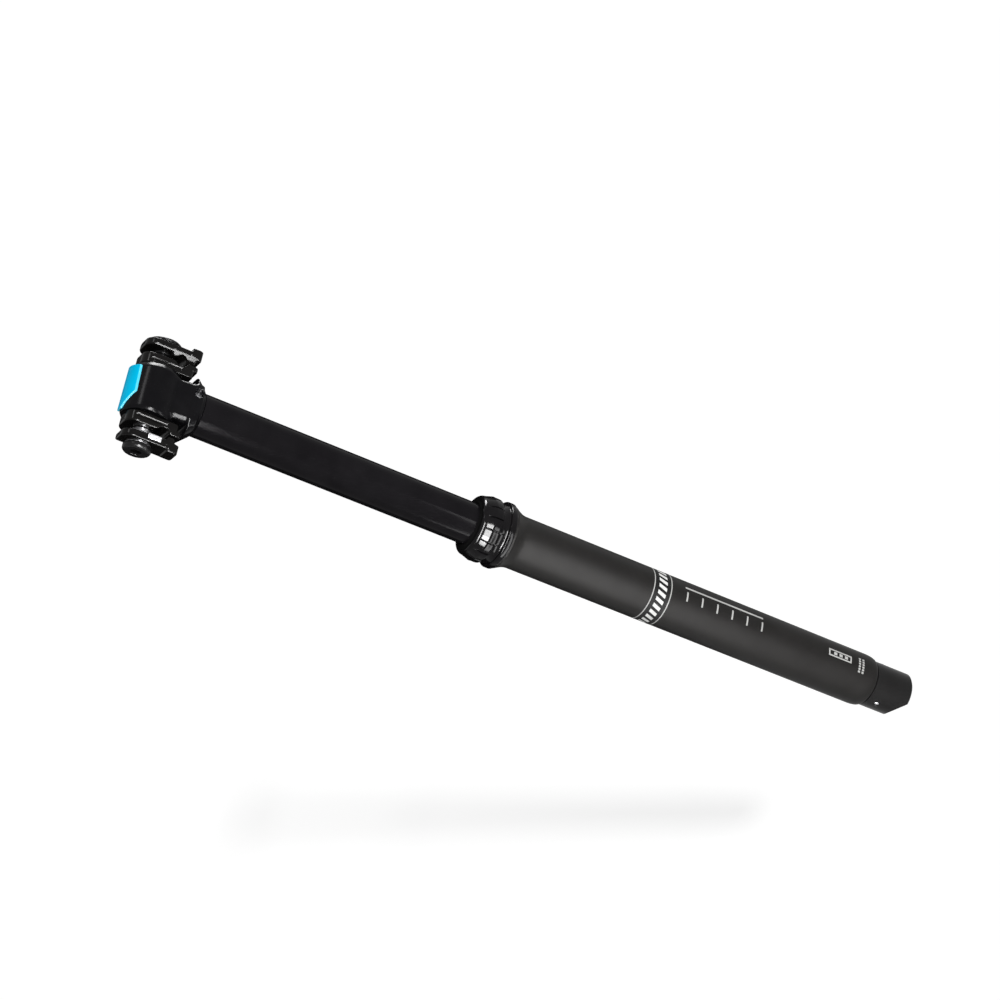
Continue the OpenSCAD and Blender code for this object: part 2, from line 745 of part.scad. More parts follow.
// Round nut whose sleeve fills the cheek's bore round the bolt
module clamp_nut() {
    flange_r = nut_d / 2;
    edge = 0.5;
    color([0.1, 0.1, 0.1]) translate([washer_out, 0, bolt_z]) rotate([0, 90, 0]) rotate_extrude() polygon([
        [bolt_r + seat_fit, -nut_sleeve_len], [sleeve_r, -nut_sleeve_len], [sleeve_r, 0], [flange_r, 0],
        [flange_r, nut_t - edge], [flange_r - edge, nut_t], [bolt_r + seat_fit, nut_t]]);
}

// Washer of the right side, round a hole
module washer(hole_r) {
    translate([cheek_out, 0, bolt_z]) rotate([0, 90, 0]) difference() {
        cylinder(r = bolt_head_d / 2 - 0.8, h = washer_t);
        translate([0, 0, -1]) cylinder(r = hole_r + seat_fit, h = washer_t + 2);
    }
}

module clamp_washer_right() { color([0.55, 0.55, 0.57]) washer(sleeve_r); }
module clamp_washer_left() { color([0.55, 0.55, 0.57]) mirror([1, 0, 0]) washer(bolt_r); }

outer_tube();
seal_collar();
wiper_seal();
foam_ring();
upper_bushing();
stanchion();
lower_bushing();
alignment_keys();
top_out_bumper();
bottom_out_bumper();
retaining_ring();
rod_guide();
rod_seal();
cartridge_tube();
cartridge_cap();
fill_valve();
floating_piston();
floating_piston_seal();
piston_rod();
main_piston();
piston_seal();
valve_pin();
actuator_housing();
housing_oring();
actuator_lever();
lever_pivot();
cable_barrel();
head();
head_grub_screw();
top_plate();
clamp_inner_right();
clamp_inner_left();
clamp_outer_right();
clamp_outer_left();
clamp_bolt();
clamp_nut();
clamp_washer_right();
clamp_washer_left();
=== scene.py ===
"""Dropper seatpost: fine forms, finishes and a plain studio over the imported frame.

Lengths in the classes are millimetres in the row's frame; meshes are written in metres.
"""
import logging
import math
from dataclasses import dataclass
from enum import Enum
from itertools import product
from typing import Callable, Iterable, Optional, Sequence

import bmesh
import bpy
import numpy as np
from mathutils import Matrix, Vector


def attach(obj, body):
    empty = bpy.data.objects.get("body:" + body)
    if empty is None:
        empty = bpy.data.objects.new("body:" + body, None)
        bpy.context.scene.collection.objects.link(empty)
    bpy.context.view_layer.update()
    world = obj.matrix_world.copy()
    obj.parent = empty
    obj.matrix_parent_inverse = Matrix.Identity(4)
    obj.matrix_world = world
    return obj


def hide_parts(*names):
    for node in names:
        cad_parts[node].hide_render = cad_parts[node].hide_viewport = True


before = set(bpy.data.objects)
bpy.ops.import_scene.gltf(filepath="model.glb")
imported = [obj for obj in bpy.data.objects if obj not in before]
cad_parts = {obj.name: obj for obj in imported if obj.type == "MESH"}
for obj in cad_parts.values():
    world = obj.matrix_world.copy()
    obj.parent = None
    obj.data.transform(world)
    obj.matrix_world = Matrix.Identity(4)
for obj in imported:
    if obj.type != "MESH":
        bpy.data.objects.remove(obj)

LOG = logging.getLogger("seatpost")
MM = 0.001
CREASE = 32.0
WELD = 1e-6
FLAT_ANGLE = 2.0
WHITE = (1, 1, 1, 1)
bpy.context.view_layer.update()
Colour = tuple[float, float, float]
Point = tuple[float, float]
Field = Callable[[np.ndarray], np.ndarray]
Outline = Callable[[np.ndarray, np.ndarray], np.ndarray]
Piece = bpy.types.Object
Node = bpy.types.Node
Tree = bpy.types.NodeTree
Socket = bpy.types.NodeSocket


# Nodes and finishes


def filled(made: Node, **inputs: object) -> Node:
    """Fills or joins a node's inputs.

    Args:
        made: the node.
        **inputs: socket name, with spaces as underscores, or i0, i1 and so on by number,
            and a value or an output socket.

    Returns:
        The same node.
    """
    for key, value in inputs.items():
        number = key[1:]
        socket = (made.inputs[int(number)] if key[0] == "i" and number.isdigit()
                  else made.inputs[key.replace("_", " ")])
        if isinstance(value, Socket):
            made.id_data.links.new(value, socket)
        else:
            socket.default_value = value
    return made


def add_node(tree: Tree, kind: str, operation: Optional[str] = None, **inputs: object) -> Node:
    """Adds a node with its operation, where it has one, and fills its inputs."""
    made = tree.nodes.new(kind)
    if operation is not None:
        made.operation = operation
    return filled(made, **inputs)


class Grain(Enum):
    """Which way the fine texture of a surface runs."""

    TURNED = (0.02, 0.02, 1.0)
    DRAWN = (1.0, 1.0, 0.02)
    BLASTED = (1.0, 1.0, 1.0)
    ACROSS = (1.0, 0.03, 0.03)


FINE_OCTAVES, CLOUD_OCTAVES = 3.0, 4.0
RAMP_STOPS = (0.3, 0.7)
RAMP_LIFT = 0.002
LEAST_ROUGH = 0.02
BUMP_DEPTH = 0.0001


@dataclass(frozen=True)
class Finish:
    """One surface finish, built as a procedural material on Object coordinates.

    Scales are in cycles per metre, because Object coordinates are metres.
    """

    name: str
    colour: Colour
    rough: float
    metal: float = 0.0
    specular: float = 0.5
    grain: Grain = Grain.BLASTED
    grain_scale: float = 9000.0
    bump: float = 0.04
    rough_spread: float = 0.06
    shade_spread: float = 0.12
    cloud_scale: float = 60.0

    def material(self) -> bpy.types.Material:
        """Builds the material once and returns it on every later call."""
        made = bpy.data.materials.get(self.name)
        if made is None:
            made = bpy.data.materials.new(self.name)
            made.use_nodes = True
            self._dress(made.node_tree)
            made.diffuse_color = (*self.colour, 1.0)
        return made

    def _dress(self, tree: Tree) -> None:
        """Adds the texture nodes and joins them to the shader."""
        place = add_node(tree, "ShaderNodeTexCoord").outputs["Object"]
        stretch = add_node(tree, "ShaderNodeMapping", Vector=place, Scale=self.grain.value)
        fine = add_node(tree, "ShaderNodeTexNoise", Vector=stretch.outputs["Vector"],
                        Scale=self.grain_scale, Detail=FINE_OCTAVES).outputs["Fac"]
        cloud = add_node(tree, "ShaderNodeTexNoise", Vector=place, Scale=self.cloud_scale,
                         Detail=CLOUD_OCTAVES).outputs["Fac"]
        ramp = add_node(tree, "ShaderNodeValToRGB", Fac=cloud)
        tones = ((1.0 - self.shade_spread, 0.0), (1.0 + self.shade_spread, RAMP_LIFT))
        for stop, position, (share, lift) in zip(ramp.color_ramp.elements, RAMP_STOPS, tones):
            stop.position = position
            stop.color = (*(min(1.0, c * share + lift) for c in self.colour), 1.0)
        spread = add_node(tree, "ShaderNodeMapRange", Value=fine,
                          To_Min=max(LEAST_ROUGH, self.rough - self.rough_spread),
                          To_Max=min(1.0, self.rough + self.rough_spread))
        relief = add_node(tree, "ShaderNodeBump", Strength=self.bump, Distance=BUMP_DEPTH,
                          Height=fine)
        filled(tree.nodes["Principled BSDF"], Base_Color=ramp.outputs["Color"],
               Roughness=spread.outputs["Result"], Normal=relief.outputs["Normal"],
               Metallic=self.metal, Specular_IOR_Level=self.specular)


TUBE_MATTE = Finish("tube_matte_black", (0.0091, 0.0084, 0.0079), 0.46, specular=0.075,
                    grain=Grain.TURNED, grain_scale=6000.0, bump=0.03, shade_spread=0.08)
STANCHION_GLOSS = Finish("stanchion_gloss_black", (0.0075, 0.0068, 0.0080), 0.12, specular=0.023,
                         grain=Grain.DRAWN, grain_scale=2500.0, bump=0.02, rough_spread=0.03)
COLLAR_GLOSS = Finish("collar_gloss_black", (0.0050, 0.0045, 0.0051), 0.13, specular=0.07,
                      grain=Grain.TURNED, grain_scale=3000.0, bump=0.006, rough_spread=0.03)
FORGED_BLACK = Finish("forged_gloss_black", (0.0036, 0.0034, 0.0042), 0.2, specular=0.045,
                      grain_scale=1200.0, bump=0.05, rough_spread=0.05, cloud_scale=90.0)
CLAMP_BLACK = Finish("clamp_gloss_black", (0.0048, 0.0043, 0.0042), 0.16, specular=0.06,
                     grain_scale=1400.0, bump=0.05, rough_spread=0.05, cloud_scale=110.0)
BOLT_OXIDE = Finish("bolt_black_oxide", (0.007, 0.0068, 0.0072), 0.26, specular=0.1,
                    grain=Grain.ACROSS, grain_scale=3000.0)
SHANK_STEEL = Finish("bolt_shank_steel", (0.3, 0.3, 0.31), 0.25, metal=1.0,
                     grain=Grain.ACROSS, grain_scale=5000.0)
WASHER_STEEL = Finish("washer_satin_steel", (0.42, 0.42, 0.43), 0.33, metal=1.0,
                      grain=Grain.ACROSS, grain_scale=5000.0)
PLATE_BLUE = Finish("plate_cyan_gloss", (0.0, 0.475, 0.77), 0.35, specular=0.01,
                    grain_scale=2500.0, bump=0.02, shade_spread=0.04)
# The lighter cyan on the plate's bevels is a painted highlight along its edges.
PLATE_EDGE_HIGHLIGHT = Finish("plate_cyan_painted_highlight", (0.10, 0.66, 0.88), 0.35, specular=0.04,
                    grain_scale=2500.0, bump=0.02, shade_spread=0.04)
SEAL_RUBBER = Finish("seal_rubber_finish", (0.006, 0.006, 0.006), 0.9, specular=0.0,
                     grain_scale=5000.0, bump=0.12)
FOAM_GREY = Finish("oiled_foam", (0.2, 0.2, 0.19), 0.85, specular=0.2, grain_scale=2600.0,
                   bump=0.7, shade_spread=0.3, cloud_scale=900.0)
BUSHING_POLYMER = Finish("bushing_polymer_finish", (0.42, 0.42, 0.36), 0.5, grain=Grain.TURNED,
                         grain_scale=3500.0, bump=0.08)
KEY_BRASS = Finish("key_brass_finish", (0.78, 0.57, 0.24), 0.28, metal=1.0, grain=Grain.DRAWN,
                   grain_scale=4000.0, bump=0.08)
INNER_ALUMINIUM = Finish("turned_aluminium", (0.74, 0.745, 0.76), 0.3, metal=1.0,
                         grain=Grain.TURNED, grain_scale=7000.0, bump=0.12)
ROD_CHROME = Finish("rod_ground_chrome", (0.8, 0.8, 0.82), 0.1, metal=1.0, grain=Grain.TURNED,
                    grain_scale=9000.0, bump=0.02, rough_spread=0.03)
PIN_STEEL = Finish("pin_ground_steel", (0.62, 0.62, 0.64), 0.27, metal=1.0,
                   grain_scale=5000.0, bump=0.06)
HOUSING_SATIN = Finish("housing_satin_black", (0.0085, 0.0082, 0.0082), 0.36, specular=0.075,
                       grain=Grain.TURNED, grain_scale=5000.0, bump=0.05)
PRINT_GREY = Finish("print_light_grey", (0.44, 0.44, 0.43), 0.55, specular=0.2,
                    grain_scale=8000.0, bump=0.03)
PRINT_WHITE = Finish("print_white", (0.7, 0.7, 0.69), 0.55, specular=0.2, grain_scale=8000.0,
                     bump=0.03)
PRINT_BLACK = Finish("print_black", (0.004, 0.004, 0.004), 0.5, specular=0.08,
                     grain_scale=8000.0, bump=0.03)

NODE_FINISH: dict[str, Finish] = {name: finish for finish, names in (
    (TUBE_MATTE, "outer_tube"), (COLLAR_GLOSS, "seal_collar"), (STANCHION_GLOSS, "stanchion"),
    (FOAM_GREY, "foam_ring"), (ROD_CHROME, "piston_rod"), (HOUSING_SATIN, "actuator_housing"),
    (SEAL_RUBBER, "wiper_seal top_out_bumper bottom_out_bumper rod_seal floating_piston_seal"
                  " piston_seal housing_oring"),
    (BUSHING_POLYMER, "upper_bushing lower_bushing"),
    (KEY_BRASS, "alignment_keys fill_valve cable_barrel"),
    (PIN_STEEL, "retaining_ring valve_pin actuator_lever lever_pivot head_grub_screw"),
    (INNER_ALUMINIUM, "rod_guide cartridge_tube cartridge_cap floating_piston main_piston"),
    (FORGED_BLACK, "head"), (PLATE_BLUE, "top_plate"), (BOLT_OXIDE, "clamp_bolt clamp_nut"),
    (CLAMP_BLACK, "clamp_inner_right clamp_inner_left clamp_outer_right clamp_outer_left"),
    (WASHER_STEEL, "clamp_washer_right clamp_washer_left")) for name in names.split()}


# Mesh making


class Workshop:
    """Turns point lists, profiles and copies of CAD nodes into finished mesh objects."""

    @staticmethod
    def placed(name: str, data: bpy.types.ID) -> Piece:
        """Returns a new object with the given data, linked to the scene."""
        piece = bpy.data.objects.new(name, data)
        bpy.context.scene.collection.objects.link(piece)
        return piece

    @staticmethod
    def plain(name: str, points: Iterable[Sequence[float]], faces: Iterable[Sequence[int]],
              crease: float = CREASE) -> Piece:
        """Makes an object from points in millimetres.

        Args:
            name: the piece's name.
            points: vertices in the row's frame.
            faces: vertex numbers of each face.
            crease: angle in degrees above which an edge is shown sharp.

        Returns:
            The new object, at the origin.
        """
        mesh = bpy.data.meshes.new(name)
        mesh.from_pydata([tuple(c * MM for c in p) for p in points], [], list(faces))
        mesh.update()
        piece = Workshop.placed(name, mesh)
        Workshop.tidy(piece, crease)
        return piece

    @staticmethod
    def tidy(piece: Piece, crease: float = CREASE) -> None:
        """Merges doubles, turns faces outwards and shades edges sharp above an angle."""
        work = bmesh.new()
        work.from_mesh(piece.data)
        bmesh.ops.remove_doubles(work, verts=work.verts, dist=WELD)
        bmesh.ops.recalc_face_normals(work, faces=work.faces)
        work.to_mesh(piece.data)
        work.free()
        piece.data.shade_smooth()
        piece.data.set_sharp_from_angle(angle=math.radians(crease))

    @staticmethod
    def revolved(name: str, profile: Sequence[Point], steps: int,
                 crease: float = CREASE) -> Piece:
        """Turns a closed profile of (radius, height) about the post's axis.

        Args:
            name: the piece's name.
            profile: closed outline, without its first point again.
            steps: number of segments round the axis.
            crease: angle above which an edge is shown sharp.

        Returns:
            The turned object.
        """
        points, faces, count = [], [], len(profile)
        for k in range(steps):
            turn = 2 * math.pi * k / steps
            points += [(r * math.cos(turn), r * math.sin(turn), z) for r, z in profile]
        for k in range(steps):
            a, b = k * count, (k + 1) % steps * count
            faces += [(a + i, b + i, b + (i + 1) % count, a + (i + 1) % count)
                      for i in range(count)]
        return Workshop.plain(name, points, faces, crease)

    @staticmethod
    def softened(node: str, name: str, width: float, steps: int = 3,
                 angle: float = 28.0) -> Piece:
        """Copies a node's mesh, joins its flat faces and rounds its sharp edges.

        Args:
            node: the CAD node.
            name: the new piece's name.
            width: width of the rounding in millimetres.
            steps: segments across it.
            angle: edges turned by more than this many degrees are rounded.

        Returns:
            The copy, with no material.
        """
        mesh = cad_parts[node].data.copy()
        mesh.materials.clear()
        piece = Workshop.placed(name, mesh)
        Workshop.tidy(piece)
        work = bmesh.new()
        work.from_mesh(mesh)
        bmesh.ops.dissolve_limit(work, angle_limit=math.radians(FLAT_ANGLE), verts=work.verts,
                                 edges=work.edges)
        work.to_mesh(mesh)
        work.free()
        bevel = piece.modifiers.new("edges", "BEVEL")
        bevel.width, bevel.segments = width * MM, steps
        bevel.limit_method, bevel.angle_limit = "ANGLE", math.radians(angle)
        bevel.use_clamp_overlap = True
        even = piece.modifiers.new("even", "WEIGHTED_NORMAL")
        even.keep_sharp = True
        return Workshop.baked(piece)

    @staticmethod
    def baked(piece: Piece) -> Piece:
        """Replaces an object's mesh by its evaluated one and removes its modifiers."""
        graph = bpy.context.evaluated_depsgraph_get()
        mesh = bpy.data.meshes.new_from_object(piece.evaluated_get(graph))
        piece.modifiers.clear()
        piece.data = mesh
        mesh.name = piece.name
        return piece


class Form:
    """A solid given by its signed distance in millimetres, negative inside."""

    CREASE = 50.0
    PASSES = 3
    PROBE = 0.02
    LEAST_SLOPE = 0.05
    LEAST_MOVE = 1e-9

    def __init__(self, distance: Field) -> None:
        """Keeps the distance function."""
        self.distance = distance

    def joined(self, other: "Form", blend: float = 0.0) -> "Form":
        """Returns the union with another form, with a fillet of about the blend's width."""
        return Form(lambda p: -smooth_max(-self.distance(p), -other.distance(p), blend))

    def cut(self, other: "Form", blend: float = 0.0) -> "Form":
        """Returns this form less another, with the new edge rounded by the blend."""
        return Form(lambda p: smooth_max(self.distance(p), -other.distance(p), blend))

    def within(self, other: "Form", blend: float = 0.0) -> "Form":
        """Returns what the two forms share, with rounded edges."""
        return Form(lambda p: smooth_max(self.distance(p), other.distance(p), blend))

    def mirrored(self) -> "Form":
        """Returns the form mirrored to the other side of the middle plane."""
        return Form(lambda p: self.distance(p * np.array([-1.0, 1.0, 1.0])))

    def mesh(self, name: str, low: Sequence[float], high: Sequence[float],
             step: float) -> Piece:
        """Draws the form's surface as a mesh of small quads.

        Args:
            name: the piece's name.
            low: lowest corner of the space that holds it.
            high: highest corner.
            step: size of a quad.

        Returns:
            The finished object.
        """
        start = np.array(low, float) - 2 * step
        count = np.ceil((np.array(high, float) + 2 * step - start) / step).astype(int) + 1
        axes = [start[i] + step * np.arange(count[i]) for i in range(3)]
        grid = np.stack(np.meshgrid(*axes, indexing="ij"), -1)
        value = self.distance(grid.reshape(-1, 3)).reshape(count)
        points, faces = surface_net(value, start, step)
        for _ in range(self.PASSES):
            points = self._settled(points, step)
        return Workshop.plain(name, points, faces, self.CREASE)

    def _settled(self, points: np.ndarray, step: float) -> np.ndarray:
        """Moves points by a step at most, onto the surface along the distance's slope."""
        probe = self.PROBE
        slope = np.stack([
            self.distance(points + probe * unit) - self.distance(points - probe * unit)
            for unit in np.eye(3)], -1) / (2 * probe)
        scale = np.maximum((slope ** 2).sum(-1), self.LEAST_SLOPE)
        move = slope * (self.distance(points) / scale)[:, None]
        length = np.maximum(np.linalg.norm(move, axis=-1, keepdims=True), self.LEAST_MOVE)
        return points - move * np.minimum(1.0, step / length)


def smooth_max(a: np.ndarray, b: np.ndarray, blend: float) -> np.ndarray:
    """Returns the larger value, with the two eased into each other over the blend."""
    if blend <= 0:
        return np.maximum(a, b)
    share = np.maximum(blend - np.abs(a - b), 0.0) / blend
    return np.maximum(a, b) + share ** 2 * blend / 4


def surface_net(value: np.ndarray, start: np.ndarray, step: float
                ) -> tuple[np.ndarray, np.ndarray]:
    """Finds the zero surface of a sampled distance as quads.

    Args:
        value: distances on a regular grid.
        start: place of the grid's first sample.
        step: the grid's spacing.

    Returns:
        Vertex places and the quads' vertex numbers.
    """
    size = np.array(value.shape)
    inside = value < 0
    total = np.zeros((*(size - 1), 3))
    hits = np.zeros(size - 1)
    for axis in range(3):
        others = [i for i in range(3) if i != axis]
        for offset in product((0, 1), repeat=2):
            low, high = [None] * 3, [None] * 3
            low[axis], high[axis] = slice(0, -1), slice(1, None)
            for other, shift in zip(others, offset):
                low[other] = high[other] = slice(shift, size[other] - 1 + shift)
            a, b = value[tuple(low)], value[tuple(high)]
            crossing = (a < 0) != (b < 0)
            share = np.where(crossing, a / np.where(crossing, a - b, 1.0), 0.0)
            total[..., axis] += share
            for other, shift in zip(others, offset):
                total[..., other] += shift * crossing
            hits += crossing
    used = hits > 0
    index = np.full(size - 1, -1)
    index[used] = np.arange(used.sum())
    places = np.argwhere(used) + total[used] / hits[used][:, None]
    faces = []
    for axis in range(3):
        u, v = (axis + 1) % 3, (axis + 2) % 3
        low, high = [slice(1, -1)] * 3, [slice(1, -1)] * 3
        low[axis], high[axis] = slice(0, -1), slice(1, None)
        first, last = inside[tuple(low)], inside[tuple(high)]
        edge = np.argwhere(first != last)
        flip = last[first != last]
        edge[:, u] += 1
        edge[:, v] += 1
        corner = []
        for du, dv in ((-1, -1), (0, -1), (0, 0), (-1, 0)):
            cell = edge.copy()
            cell[:, u] += du
            cell[:, v] += dv
            corner.append(index[tuple(cell.T)])
        quad = np.stack(corner, -1)
        quad[flip] = quad[flip][:, ::-1]
        faces.append(quad)
    return start + places * step, np.concatenate(faces)


def extruded(outline: Outline, axis: int, low: float, high: float,
             edge: float = 0.0) -> Form:
    """Extrudes a flat outline along an axis, with rounded edges.

    Args:
        outline: distance to the outline in the two other axes, in their order.
        axis: 0, 1 or 2 for X, Y or Z.
        low: where the form starts on that axis.
        high: where it ends.
        edge: radius of its edges.

    Returns:
        The form.
    """
    u, v = [i for i in range(3) if i != axis]

    def distance(p: np.ndarray) -> np.ndarray:
        """Returns the distance to the rounded extrusion."""
        flat = outline(p[:, u], p[:, v]) + edge
        along = np.abs(p[:, axis] - (low + high) / 2) - (high - low) / 2 + edge
        outer = np.hypot(np.maximum(flat, 0), np.maximum(along, 0))
        return np.minimum(np.maximum(flat, along), 0) + outer - edge

    return Form(distance)


def arc(u: float, v: float, wide: float, tall: float, turns: Iterable[float]) -> list[Point]:
    """Returns points of an oval about (u, v), at angles in degrees from its second axis."""
    return [(u + wide * math.sin(math.radians(t)), v + tall * math.cos(math.radians(t)))
            for t in turns]


def disc(radius: float, u: float = 0.0, v: float = 0.0) -> Outline:
    """Returns a circle's outline about (u, v)."""
    return lambda a, b: np.hypot(a - u, b - v) - radius


def round_box(u0: float, u1: float, v0: float, v1: float, low_round: float,
              high_round: float) -> Outline:
    """Returns a rectangle's outline whose low and high corners have their own radii.

    Args:
        u0: lowest first coordinate.
        u1: highest first coordinate.
        v0: lowest second coordinate.
        v1: highest second coordinate.
        low_round: radius of the corners at v0.
        high_round: radius of the corners at v1.

    Returns:
        The distance function.
    """
    mid_u, mid_v = (u0 + u1) / 2, (v0 + v1) / 2

    def distance(a: np.ndarray, b: np.ndarray) -> np.ndarray:
        """Returns the distance to the rounded rectangle."""
        radius = np.where(b > mid_v, high_round, low_round)
        qu = np.abs(a - mid_u) - (u1 - u0) / 2 + radius
        qv = np.abs(b - mid_v) - (v1 - v0) / 2 + radius
        outer = np.hypot(np.maximum(qu, 0), np.maximum(qv, 0))
        return np.minimum(np.maximum(qu, qv), 0) + outer - radius

    return distance


def fitted(piece: Piece, body: str, slot: str, finish: Finish, *nodes: str) -> None:
    """Gives a piece its finish, its body and the nodes that it stands for.

    Args:
        piece: the finished piece.
        body: the CAD body that it rides on.
        slot: the record's material slot, which this function doesn't use.
        finish: its surface finish.
        *nodes: the CAD nodes that it replaces.
    """
    if not piece.data.materials:
        piece.data.materials.append(finish.material())
    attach(piece, body)
    if nodes:
        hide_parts(*nodes)
    LOG.info("%s: %d faces on %s", piece.name, len(piece.data.polygons), body)


class GeometryRule:
    """A Geometry Nodes tree with named inputs, run once on an object."""

    def __init__(self, name: str, **sizes: float) -> None:
        """Starts a tree with a geometry input and output and its named inputs.

        Args:
            name: the tree's name.
            **sizes: each named input's value, in metres or radians, or a whole count.
        """
        self.tree = bpy.data.node_groups.new(name, "GeometryNodeTree")
        for way in ("INPUT", "OUTPUT"):
            self.tree.interface.new_socket("Geometry", in_out=way,
                                           socket_type="NodeSocketGeometry")
        self.values: dict[str, float] = {}
        for label, value in sizes.items():
            kind = "NodeSocketInt" if isinstance(value, int) else "NodeSocketFloat"
            socket = self.tree.interface.new_socket(label, in_out="INPUT", socket_type=kind)
            self.values[socket.identifier] = value
        self.start = self.tree.nodes.new("NodeGroupInput")
        self.end = self.tree.nodes.new("NodeGroupOutput")

    def node(self, kind: str, operation: Optional[str] = None, **inputs: object) -> Node:
        """Adds a node to the rule's tree, as add_node does."""
        return add_node(self.tree, kind, operation, **inputs)

    def math(self, operation: str, *terms: object) -> Socket:
        """Adds a math node and returns its result."""
        inputs = {f"i{k}": term for k, term in enumerate(terms)}
        return self.node("ShaderNodeMath", operation, **inputs).outputs[0]

    def given(self, name: str) -> Socket:
        """Returns a named input's socket inside the tree."""
        return self.start.outputs[name]

    def number(self) -> Socket:
        """Returns the number of each point."""
        return self.node("GeometryNodeInputIndex").outputs[0]

    def upright(self, value: Socket) -> Socket:
        """Returns a vector along Z with the given length."""
        return self.node("ShaderNodeCombineXYZ", Z=value).outputs[0]

    def line(self, count: str, step: object = (0, 0, 0)) -> Socket:
        """Returns as many points as the named input says, each a step after the last."""
        return self.node("GeometryNodeMeshLine", i0=self.given(count), Offset=step).outputs[0]

    def repeat(self, piece: Piece, points: Socket, finish: Finish, **more: object) -> Piece:
        """Puts the piece on every point, with more inputs such as Rotation, and ends the rule."""
        placed = self.node("GeometryNodeInstanceOnPoints", Points=points,
                           Instance=self.given("Geometry"), **more)
        return self.run(piece, placed.outputs[0], finish)

    def run(self, piece: Piece, last: Socket, finish: Finish) -> Piece:
        """Ends the tree, sets its inputs and bakes the result into the object.

        Args:
            piece: the object that the rule runs on.
            last: the geometry that the tree has made.
            finish: the finish that Set Material gives.

        Returns:
            The same object, as a plain mesh.
        """
        real = self.node("GeometryNodeRealizeInstances", Geometry=last)
        dress = self.node("GeometryNodeSetMaterial", Geometry=real.outputs[0],
                          Material=finish.material())
        filled(self.end, i0=dress.outputs[0])
        rule = piece.modifiers.new(self.tree.name, "NODES")
        rule.node_group = self.tree
        for identifier, value in self.values.items():
            rule[identifier] = value
        piece.update_tag()
        return Workshop.baked(piece)


# The post


